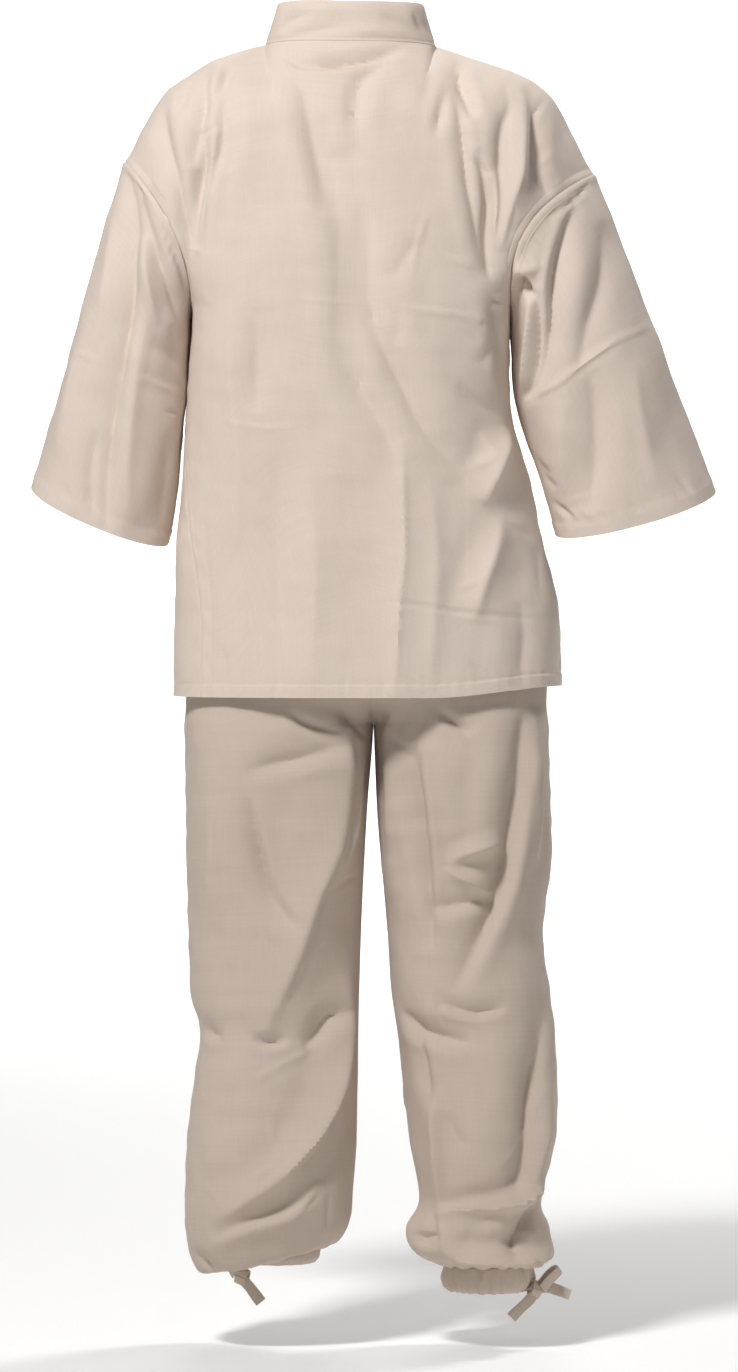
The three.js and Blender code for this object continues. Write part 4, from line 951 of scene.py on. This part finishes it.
def sleeve_relief(p, n, u, v, distances):
    _, _, top, foot = distances
    behind = n[..., 1] > 0
    fade = ease(top / 11)
    # In front, the sleeves have the folds that they have behind, a little lower.
    x, z = p[..., 0], np.where(behind, p[..., 2], p[..., 2] + front_fold_drop)
    relief = fold_relief(sleeve_folds, x, z) * facing_share(n) * fade
    relief += fold_relief(sleeve_creases, x, z) * facing_share(n) * ease(top / 6)
    relief += (cloth_noise(p, 80, 13) * 0.9 + cloth_noise(p, 30, 14) * 0.3) * ease(top / 40)
    turn = u * 2 * math.pi
    pucker = np.cos(turn * armhole_puckers) * (0.6 + 0.4 * np.cos(turn * 7 + 1))
    relief += 0.8 * pucker * near_line(top - 14, 9)
    relief += ease((felled_width + 0.8 - top) / 1.6) - 0.9 * near_line(top, 1.2)
    relief -= 0.45 * near_line(top - felled_width + 2, 0.9)
    relief += turned_hem(foot, cuff_hem)
    return relief + hem_puckers(distances[0], foot - cuff_hem)


armhole_rows = (1, 2.4, 5, 7, 8, 9, 10, 10.8, 11.6, 13, 16)
cuff_rows = (3, 9, 14, 15.6, 17, 18.4, 20, 26)
for wearer_side, outward in (("left", -1), ("right", 1)):
    sleeve = cloth_piece(
        f"sleeve_{wearer_side}_tube", sleeve_surface(wearer_side), np.linspace(0, 1, 149),
        spaced(sleeve_length, 3.3, armhole_rows, cuff_rows), outward, sleeve_relief, jacket_cotton, tube=True,
        thickness=hemmed(cuff_hem))
    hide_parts(f"sleeve_{wearer_side}")
    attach(sleeve, "root")

# Trousers
# Four panels of the same cotton, painted a little darker than the jacket as painted shade, because the light
# comes from above. They hang from the waist, break at the knees and blouse over the gathered ankles.
hip_height = -640
crotch_height = -773
# Columns: height, outer edge's x, inner edge's x, depth behind, depth in front, slope of the row.
legs = {
    "left": [
        (-517, 142, -11, 96, 98, 0), (-560, 170, -13, 109, 106, 0), (-640, 186, -18, 120.6, 112, 0),
        (-700, 190, -22, 122, 113, 0), (-773, 189, -26, 113, 108, 0), (-869, 187, -19, 101, 98, 0),
        (-986, 185, -13, 92, 93, 0), (-1076, 181, -10, 87, 90, 0), (-1120, 171, -9, 82, 90, 0),
        (-1185, 179, -8, 86, 84, 0), (-1245, 186, -7, 90, 80, 0), (-1304, 188, -3, 91, 78, -0.04),
        (-1345, 186, 0, 88, 76, -0.14), (-1375, 172, 12, 76, 66, -0.24), (-1372, 148, 30, 60, 54, -0.2),
        (-1354, 130, 37, 48, 48, 0),
    ],
    "right": [
        (-517, -164, -11, 96, 98, 0), (-560, -194, -13, 109, 106, 0), (-640, -219, -18, 120.6, 112, 0),
        (-700, -226, -22, 122, 113, 0), (-773, -225, -26, 113, 108, 0), (-869, -228, -30, 101, 98, 0),
        (-928, -228, -35, 94, 94, 0), (-1010, -219, -42, 88, 92, 0), (-1072, -226, -46, 84, 92, 0),
        (-1127, -232, -54, 80, 90, 0), (-1190, -235, -61, 80, 84, 0), (-1245, -233, -67, 79, 80, 0),
        (-1312, -217, -78, 70, 72, 0), (-1345, -226, -63, 79, 72, 0), (-1374, -230, -72, 74, 68, 0.04),
        (-1386, -209, -105, 52, 54, 0),
    ],
}
centre_seam = [(-517, -11), (-640, -18), (-773, -26)]
crotch_row = 4
covered_above = -775
sunk_under_jacket = 2.5
front_mirror_x = -50
roll_length = 60
leg_panel_width = 270
ankle_row = len(legs["left"]) - 1
# The same columns as the back's folds.
leg_folds = [
    ([(10, -750), (8, -789), (8, -836), (20, -904), (42, -968), (66, -1045), (99, -1123)], 21.0, 32, 26),
    ([(0, -757), (-2, -836), (10, -904), (32, -970), (55, -1046), (88, -1112)], -3, 4, 7),
    ([(-19, -789), (-7, -857), (5, -904), (27, -956)], 7.5, 7, 12),
    ([(118, -824), (90, -816), (56, -809), (7, -793)], -9.8, 9, 17),
    ([(66, -748), (53, -767), (16, -780)], -9.0, 7, 10),
    ([(11, -748), (-2, -768), (-20, -789)], -7.5, 6, 9),
    ([(-36, -748), (-31, -771), (-23, -798)], -7.5, 7, 6),
    ([(-50, -744), (-43, -768), (-32, -791)], 3, 5, 6),
    ([(115, -852), (102, -916), (85, -966), (56, -1003)], -10.5, 13, 6),
    ([(94, -992), (82, -1026)], -2.5, 3, 3),
    ([(177, -1110), (160, -1120), (142, -1125)], -6.8, 6, 10),
    ([(111, -1125), (90, -1129), (70, -1123)], -6.8, 5, 9),
    ([(52, -1135), (34, -1119), (21, -1103), (-2, -1089)], -9.8, 8, 12),
    ([(24, -1097), (11, -1101), (-1, -1092)], -2.5, 2.5, 2.5),
    ([(158, -811), (154, -902), (163, -1003)], 6.0, 20, 20),
    ([(140, -924), (145, -1015), (133, -1094)], -3, 16, 16),
    ([(-2, -1046), (0, -1094), (6, -1133), (14, -1171), (24, -1201), (38, -1231), (56, -1254),
      (71, -1272), (99, -1295), (124, -1312), (154, -1336)], 19.5, 17, 15),
    ([(5, -1157), (11, -1191), (28, -1229), (49, -1259), (64, -1279), (72, -1306)], -7.5, 4, 9),
    ([(156, -1347), (118, -1330), (93, -1322), (63, -1305)], -6.3, 8, 15),
    ([(158, -1358), (124, -1341), (99, -1332), (68, -1323), (53, -1310), (32, -1284)], 9.0, 15, 8),
    ([(53, -1316), (44, -1307), (34, -1295)], -2, 2.5, 2.5),
    ([(26, -1297), (25, -1342)], -1.2, 3, 3),
    ([(84, -1200), (88, -1227), (87, -1248)], 1.8, 4, 4),
    ([(77, -1250), (93, -1269), (113, -1284)], 2, 4, 4),
    ([(166, -1225), (160, -1258), (163, -1288)], 2, 6, 6),
    ([(183, -1203), (169, -1196), (150, -1186)], 1.6, 4, 4),
    ([(181, -1367), (168, -1379), (156, -1390)], -9.0, 7, 9),
    ([(136, -1173), (140, -1218), (124, -1263)], -3, 16, 16),
    ([(167, -1286), (156, -1299), (140, -1315)], 1.4, 4, 4),
    ([(-197, -739), (-194, -809), (-183, -886), (-169, -954), (-148, -1009), (-115, -1074)], -15.0, 17, 9),
    ([(-209, -744), (-206, -809), (-194, -886), (-181, -954), (-159, -1009), (-127, -1069)], 7.5, 8, 16),
    ([(-38, -783), (-52, -861), (-69, -947), (-88, -1037)], 3, 10, 10),
    ([(-70, -789), (-77, -857), (-85, -932), (-93, -1026)], -13.5, 19, 6),
    ([(-108, -929), (-134, -914), (-177, -901)], 9.0, 8, 9),
    ([(-106, -931), (-136, -948), (-163, -963)], 9.0, 8, 8),
    ([(-86, -979), (-124, -972), (-165, -966)], -8.2, 8, 13),
    ([(-50, -1089), (-79, -1115), (-103, -1123), (-138, -1130)], -11.2, 8, 14),
    ([(-99, -1083), (-127, -1092), (-145, -1095), (-176, -1089)], -7.5, 5, 9),
    ([(-98, -1069), (-103, -1107)], -2.5, 3, 3),
    ([(-81, -746), (-81, -775)], -2.5, 4, 4),
    ([(-96, -746), (-113, -767), (-138, -781)], -9.0, 5, 9),
    ([(-46, -785), (-68, -807)], -3, 4, 4),
    ([(-211, -777), (-212, -857), (-209, -927)], 6.0, 5, 4),
    ([(-221, -777), (-223, -857), (-220, -936)], -7.5, 8, 6),
    ([(-37, -762), (-44, -886), (-42, -970)], 9.0, 8, 12),
    ([(-136, -789), (-131, -845), (-140, -902)], -3, 18, 18),
    ([(-75, -1101), (-82, -1139), (-87, -1173), (-95, -1202)], -6.0, 10, 5),
    ([(-92, -1180), (-95, -1229), (-98, -1269), (-103, -1327)], 9.0, 10, 9),
    ([(-103, -1200), (-105, -1252), (-110, -1306)], -1.5, 3, 6),
    ([(-102, -1205), (-115, -1227), (-133, -1250)], -3, 8, 8),
    ([(-223, -1087), (-218, -1128), (-212, -1167), (-206, -1201), (-202, -1235), (-197, -1269),
      (-182, -1309)], -18.0, 24, 10),
    ([(-234, -1171), (-227, -1218), (-218, -1252), (-207, -1280), (-190, -1309)], 7.5, 8, 8),
    ([(-95, -1325), (-124, -1320), (-147, -1316), (-169, -1313), (-192, -1305), (-209, -1294),
      (-223, -1272)], 21.0, 22, 8),
    ([(-108, -1314), (-147, -1311), (-169, -1306), (-184, -1297)], -3, 4, 12),
    ([(-58, -1349), (-81, -1351), (-102, -1345)], -11.2, 9, 14),
    ([(-102, -1320), (-101, -1340), (-104, -1363)], 3, 4, 4),
    ([(-97, -1349), (-111, -1366), (-130, -1372), (-158, -1372), (-186, -1374), (-215, -1377),
      (-235, -1367)], 15.0, 7, 10),
    ([(-183, -1376), (-189, -1348), (-199, -1325), (-215, -1304)], -13.5, 9, 12),
    ([(-140, -1331), (-133, -1345), (-127, -1358)], -2.5, 5, 5),
    ([(-145, -1361), (-154, -1345), (-158, -1333)], 2, 5, 5),
]
leg_creases = [
    ([(37, -962), (7, -947), (-15, -941)], -1.8, 3.5, 3.5),
    ([(113, -1173), (79, -1153), (51, -1139), (29, -1123)], 2, 5, 2.5),
    ([(-232, -1174), (-215, -1199), (-207, -1224), (-194, -1244), (-175, -1263), (-153, -1278),
      (-124, -1296)], 1.8, 2.5, 2.5),
    ([(190, -1037), (185, -1083), (188, -1139)], 0.9, 3, 3),
    ([(56, -1015), (36, -1019), (11, -1015)], 0.9, 3, 3),
    ([(-136, -1150), (-140, -1196), (-136, -1241)], 0.8, 4, 4),
    ([(-220, -970), (-224, -1037), (-221, -1083)], 0.9, 3, 3),
]


def read_rows(rows, column, place):
    return read_at([(i, *row) for i, row in enumerate(rows)], column + 1, place)


def trouser_point(wearer_side, facing, s, place):
    """s is 0 at the middle or inside seam and 1 at the outside seam; place is a row of the legs table."""
    rows = legs[wearer_side]
    z = read_rows(rows, 0, place)
    above_crotch = (z > crotch_height) & (place < crotch_row + 1)
    sign = 1 if wearer_side == "left" else -1
    own = facing * np.where((s > 1) | ((s < 0) & ~above_crotch), -1, 1)
    across = np.where(s > 1, 2 - s, np.abs(s))
    outer = read_rows(rows, 1, place)
    inner = np.where(above_crotch, read_at(centre_seam, 1, z), read_rows(rows, 2, place)) + sign * seam / 2
    depth = np.where(own > 0, read_rows(rows, 3, place), read_rows(rows, 4, place))
    # Round a leg the panel is half an oval, and above the crotch it opens into a quarter of the hips' oval.
    power = 2 / roundness
    leg_x = (outer + inner) / 2 - (outer - inner) / 2 * signed_power(np.cos(np.pi * across), power)
    leg_y = depth * np.abs(np.sin(np.pi * across)) ** power
    hip_x = inner + (outer - inner) * np.abs(np.sin(np.pi * across / 2)) ** power
    hip_y = depth * np.abs(np.cos(np.pi * across / 2)) ** power
    from_hip = (hip_height - z) / (hip_height - crotch_height)
    drop = np.clip(from_hip, 0, 1)
    seam_hip = np.where(above_crotch, np.sqrt(1 - drop ** 2), 0)
    run_out = np.clip(from_hip - 0.8, 0, 0.6) / 0.6
    side_hip = np.where(drop < 0.8, np.sqrt(1 - drop ** 2), 0.6 * (1 - run_out) ** 2 * (1 + 0.67 * run_out))
    side_hip = np.where(place < crotch_row + 2, side_hip, 0)
    hip = lerp(seam_hip, side_hip, ease(across / 0.3))
    x = lerp(leg_x, hip_x, hip)
    x = np.where((s < 0) & above_crotch, 2 * inner - x, x)
    y = own * lerp(leg_y, hip_y, hip)
    return np.stack([x, y, z + read_rows(rows, 5, place) * (x - (outer + inner) / 2)], -1)


def leg_relief(p, n, u, v, distances):
    inner_side, outer_side, top, foot = distances
    behind = n[..., 1] > 0
    # In front, each leg has the folds that the other one has behind, mirrored.
    x = np.where(behind, p[..., 0], front_mirror_x - p[..., 0])
    side = np.minimum(inner_side, outer_side)
    fade = ease(foot / 16) * ease(side / 6)
    relief = fold_relief(leg_folds, x, p[..., 2]) * facing_share(n) * fade
    relief += fold_relief(leg_creases, x, p[..., 2]) * facing_share(n) * fade
    uneven = cloth_noise(p, 85, 17) * 1.2 + cloth_noise(p, 32, 18) * 0.35
    relief += uneven * ease(top / 40) * ease(side / 30) * fade
    relief += seam_puckers(p[..., 2] / 6.1 + 2 * np.sin(p[..., 2] / 70), outer_side - 8, 0.6)
    relief -= 0.6 * near_line(outer_side, 1.6) + 0.6 * near_line(inner_side, 1.6)
    relief -= 0.45 * near_line(outer_side - 7, 1.1)
    gathers = np.cos(u * math.pi * 18 + 1.3 * np.sin(u * 9)) * np.exp(-foot / 26)
    under_jacket = ease((p[..., 2] - covered_above) / 30)
    relief = relief * (1 - under_jacket) - sunk_under_jacket * under_jacket
    return relief + 1.5 * gathers * ease(side / 8)


def leg_places(step):
    """Rows of the legs table about a step apart down the leg, and 3 mm apart in the roll above the ankle."""
    places = np.linspace(0, ankle_row, 1500)
    middle = trouser_point("left", 1, np.full(len(places), 0.5), places)
    steps = np.linalg.norm(np.diff(middle, axis=0), axis=-1)
    run = np.concatenate([[0], np.cumsum(steps)])
    even = np.linspace(0, run[-1] - roll_length, int((run[-1] - roll_length) / step))
    roll = np.linspace(run[-1] - roll_length, run[-1], 21)[1:]
    return np.interp(np.concatenate([even, roll]), run, places) / ankle_row


# The same yarn, painted a shade greyer and darker than the jacket's: painted shade for the light falling from
# above.
trouser_cotton_in_painted_shade = cotton_material("plain woven ecru cotton of the trousers in painted shade", "#CABBAE", "#BEAFA1", 9.0)
inner_seam_columns = (0.8, 2.2, 5)
outer_seam_columns = (0.8, 2.2, 5, 6, 7, 8, 10)
for wearer_side, sign in (("left", 1), ("right", -1)):
    for face, facing, step_across, step_down in (("back", 1, 3.0, 3.1), ("front", -1, 4.2, 4.4)):
        panel = cloth_piece(
            f"trouser_{face}_{wearer_side}_panel",
            lambda u, v: trouser_point(wearer_side, facing, u, v * ankle_row),
            spaced(leg_panel_width, step_across, inner_seam_columns, outer_seam_columns),
            leg_places(step_down), sign * facing, leg_relief, trouser_cotton_in_painted_shade)
        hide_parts(f"trouser_{face}_{wearer_side}")
        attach(panel, "root")

# Waistband
# A casing of the trousers' cotton, drawn up small by a cord inside it, under the jacket.
waistband = {
    "x": -11, "y": -1, "half_width": 153, "half_depth": 97, "top": -478, "bottom": -516.7, "taper": 0,
}
waistband_thickness = 2.0


def band_surface(band):
    def surface(u, v):
        angle = 2 * math.pi * u
        scale = 1 - band["taper"] * v
        return np.stack([
            band["x"] + band["half_width"] * scale * np.cos(angle),
            band["y"] + band["half_depth"] * scale * np.sin(angle),
            lerp(band["top"], band["bottom"], v),
        ], -1)
    return surface


def gather_relief(waves, height, seed):
    def relief(p, n, u, v, distances):
        turn = 2 * math.pi * u
        uneven = 0.65 + 0.35 * np.sin(3 * turn + seed) * np.cos(2 * turn - seed)
        return height * uneven * np.sin(waves * turn + 1.1 * np.sin(4 * turn + seed)) * ease(v / 0.5)
    return relief


band = cloth_piece("waistband_gathers", band_surface(waistband), np.linspace(0, 1, 281),
                   np.linspace(0, 1, 9), -1, gather_relief(38, 1.6, 1), trouser_cotton_in_painted_shade, tube=True,
                   thickness=waistband_thickness)
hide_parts("waistband")
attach(band, "root")

# Ankle cuffs
# The trouser legs end in narrow casings of the same cotton, each gathered on the tie that runs inside it.
ankle_cuffs = {
    "left": {
        "x": 83.5, "y": 0, "half_width": 45.5, "half_depth": 47, "top": -1354.3, "bottom": -1383, "taper": 0,
    },
    "right": {
        "x": -157, "y": -1, "half_width": 51, "half_depth": 52, "top": -1386.3, "bottom": -1416, "taper": 0.1,
    },
}


def cuff_relief(waves):
    """The casing swells between its seam and its lower edge, and the gathers bunch unevenly over it."""
    gathers = gather_relief(waves, 2.6, 4)
    coarse = gather_relief(9, 1.6, 2)

    def relief(p, n, u, v, distances):
        swelling = 3.2 * np.sin(np.pi * np.clip(v, 0, 1)) - 2.6 * ease((v - 0.8) / 0.2)
        return swelling + gathers(p, n, u, v, distances) + coarse(p, n, u, v, distances)
    return relief


for wearer_side, waves in (("left", 17), ("right", 24)):
    cuff = cloth_piece(
        f"ankle_cuff_{wearer_side}_casing", band_surface(ankle_cuffs[wearer_side]), np.linspace(0, 1, 193),
        np.linspace(0, 1, 15), -1, cuff_relief(waves), trouser_cotton_in_painted_shade, tube=True)
    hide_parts(f"ankle_cuff_{wearer_side}")
    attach(cuff, "root")

# Ties
# Narrow bands of the same cotton, folded in four and sewn down one edge. Two hold the jacket shut at the
# wearer's right side in a bow with one long tail, and one runs through each ankle casing and is knotted
# outside it with its short cut ends hanging.
tie_width = 13
tie_thickness = 1.6
loop_spread = 6
# The same cotton in four layers, pressed flat, with a row of stitches sunk along one edge.
tie_cotton = cotton_material("plain woven cotton of the ties", "#D0C1B3", "#C2B3A4", 15.0)
# Columns: place across the band as a share of its width, and through it as a share of its thickness.
band_profile = [
    (-0.5, -0.1), (-0.485, 0.34), (-0.42, 0.5), (-0.37, 0.36), (-0.32, 0.5), (-0.1, 0.6), (0.2, 0.6),
    (0.44, 0.5), (0.49, 0.3), (0.5, -0.1), (0.48, -0.42), (0.4, -0.5), (-0.4, -0.5), (-0.48, -0.42),
]


def unit(vector):
    return vector / np.maximum(np.linalg.norm(vector, axis=-1, keepdims=True), 1e-9)


def ribbon(stops, seed, closed=False, width=tie_width):
    """A flat band along stops of a place and the way its broad side looks: points, faces and UVs."""
    places = np.array([stop[0] for stop in stops], float)
    looks = np.array([stop[1] for stop in stops], float)
    if closed:
        places = np.concatenate([places, places[:1]])
        looks = np.concatenate([looks, looks[:1]])
    line = smooth_path(places, 7)
    share = np.linspace(0, len(places) - 1, len(line))
    look = np.stack([np.interp(share, np.arange(len(places)), looks[:, i]) for i in range(3)], -1)
    tangent = unit(np.gradient(line, axis=0))
    across = unit(np.cross(tangent, look))
    normal = unit(np.cross(across, tangent))
    run = np.concatenate([[0], np.cumsum(np.linalg.norm(np.diff(line, axis=0), axis=-1))])
    # The band waves and narrows a little along its run.
    line = line + normal * (0.35 * np.sin(run / 7 + seed))[:, None]
    crumple = 1 + 0.04 * np.sin(run / 5 + seed * 2)
    side, height = np.array(band_profile).T
    rings = (line[:, None] + across[:, None] * (side[None, :, None] * width * crumple[:, None, None])
             + normal[:, None] * (height[None, :, None] * tie_thickness + tie_thickness / 2))
    ring_count, side_count = rings.shape[:2]
    ids = np.arange(ring_count * side_count).reshape(ring_count, side_count)
    wrapped = np.concatenate([ids, ids[:, :1]], axis=1)
    quads = np.stack([wrapped[:-1, :-1], wrapped[1:, :-1], wrapped[1:, 1:], wrapped[:-1, 1:]], -1)
    faces = [tuple(quad) for quad in quads.reshape(-1, 4)] + [tuple(ids[0][::-1]), tuple(ids[-1])]
    flat = np.stack([np.broadcast_to(side * width, (ring_count, side_count)),
                     np.broadcast_to(run[:, None], (ring_count, side_count))], -1)
    return rings.reshape(-1, 3), faces, flat.reshape(-1, 2)


def loop_stops(stops):
    """A loop of a bow: the band runs out along the stops and back over itself."""
    out = [(at, -look) for at, look in stops]
    end, before = stops[-1], stops[-2]
    onward = unit(end[0] - before[0])
    tip = [(end[0] + onward * loop_spread / 2 + end[1] * loop_spread / 2, onward)]
    back = [(at + look * loop_spread, look) for at, look in stops[::-1]]
    return out + tip + back


def knot(at, look, turns):
    """The turns of a band over a knot. Columns of turns: half height, half depth, tilt, band's width."""
    up = np.array([0.0, 0.0, 1.0])
    bands = []
    for seed, (half_height, half_depth, tilt, width) in enumerate(turns, 2):
        upward = unit(up * math.cos(tilt) + np.cross(up, look) * math.sin(tilt))
        stops = []
        for angle in np.linspace(0, 2 * math.pi, 9)[:-1]:
            out, rise = look * math.cos(angle), upward * math.sin(angle)
            stops.append((at + (out * half_depth + rise * half_height),
                          unit(out / half_depth + rise / half_height)))
        bands.append(ribbon(stops, seed, closed=True, width=width))
    return bands


def tie_object(name, bands):
    """One mesh from several bands, with their UVs in metres of cloth."""
    starts = np.cumsum([0] + [len(points) for points, _, _ in bands])
    faces = [tuple(i + start for i in face) for start, band in zip(starts, bands) for face in band[1]]
    points, flat = (np.concatenate([band[i] for band in bands]) for i in (0, 2))
    return mesh_object(name, points, faces, flat, 60, tie_cotton)


def front_stop(x, z, lift):
    """A stop on the jacket's front, lifted off it."""
    at = lambda dx, dz: jacket_at(np.array([float(x + dx)]), np.array([float(z + dz)]), -1)[0]
    look = unit(np.cross(at(1, 0) - at(-1, 0), at(0, 1) - at(0, -1)))
    return at(0, 0) + look * lift, look


# Columns of a stop: x, z, how far it lies above the jacket.
outer_ties = {
    "left": {
        "bands": [
            [(-126.6, -506, 2.3), (-140, -507, 5), (-157, -507, 8)],
            [(-157, -507, 6), (-152, -528, 5), (-147, -560, 5), (-146, -590, 6), (-151, -640, 6)],
        ],
        "loop": [(-157, -507, 5), (-132, -524, 6), (-104, -545, 7)],
        "knot": (-157, -507, 8),
        "rests_on": ["collar_band", "jacket_front_left_panel"],
    },
    "right": {
        "bands": [[(-193, -500, 0.4), (-184, -502, 4), (-169, -506, 7)]],
        "loop": [(-169, -509, 6), (-186, -530, 6), (-199, -556, 7)],
        "knot": None,
        "rests_on": ["jacket_front_right_panel"],
    },
}
for wearer_side, tie in outer_ties.items():
    bands = [ribbon([front_stop(*stop) for stop in band], i) for i, band in enumerate(tie["bands"])]
    bands.append(ribbon(loop_stops([front_stop(*stop) for stop in tie["loop"]]), 5))
    if tie["knot"]:
        bands += knot(*front_stop(*tie["knot"]), [(7, 3.2, 0.2, 11), (5.5, 2.4, -0.5, 12)])
    piece = tie_object(f"outer_tie_{wearer_side}_band", bands)
    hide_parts(f"outer_tie_{wearer_side}")
    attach(piece, "root")
    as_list(tie["rests_on"])

# Columns of a stop: x, y, z.
ankle_ties = {
    "left": {
        "knot": (122.6, 27, -1397),
        "bands": [
            [(123, 25, -1383.6), (123.4, 26, -1390), (122.6, 27, -1397)],
            [(122.6, 28, -1399), (114, 33.5, -1408), (108, 36.5, -1416), (101, 39, -1425)],
            [(123, 25, -1395), (128, 21, -1392), (133, 15, -1391), (136, 8, -1396)],
        ],
        "loops": [],
    },
    "right": {
        "knot": (-209.4, 15, -1413),
        "bands": [
            [(-208, 18, -1418), (-200, 26, -1426), (-190, 31, -1435), (-182, 33, -1443)],
            [(-208, 12, -1413), (-222, 11, -1411), (-236, 9, -1415), (-249, 7, -1421)],
        ],
        "loops": [[(-213, 14, -1412), (-221, 10, -1403), (-231, 6, -1393)]],
    },
}


def ankle_stop(cuff):
    """The band looks away from the middle of the ankle, a little to the back."""
    def stop(x, y, z):
        look = np.array([(x - cuff["x"]) * 0.5, abs(y - cuff["y"]) + 20, 0])
        return np.array([x, y, z], float), unit(look)
    return stop


for wearer_side, tie in ankle_ties.items():
    stop = ankle_stop(ankle_cuffs[wearer_side])
    bands = [ribbon([stop(*place) for place in band], i) for i, band in enumerate(tie["bands"])]
    for loop in tie["loops"]:
        bands.append(ribbon(loop_stops([stop(*place) for place in loop]), 5))
    bands += knot(*stop(*tie["knot"]), [(8.5, 3.8, 0.35, 14), (5.6, 2.6, -0.6, 13)])
    piece = tie_object(f"ankle_tie_{wearer_side}_band", bands)
    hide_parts(f"ankle_tie_{wearer_side}")
    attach(piece, "root")
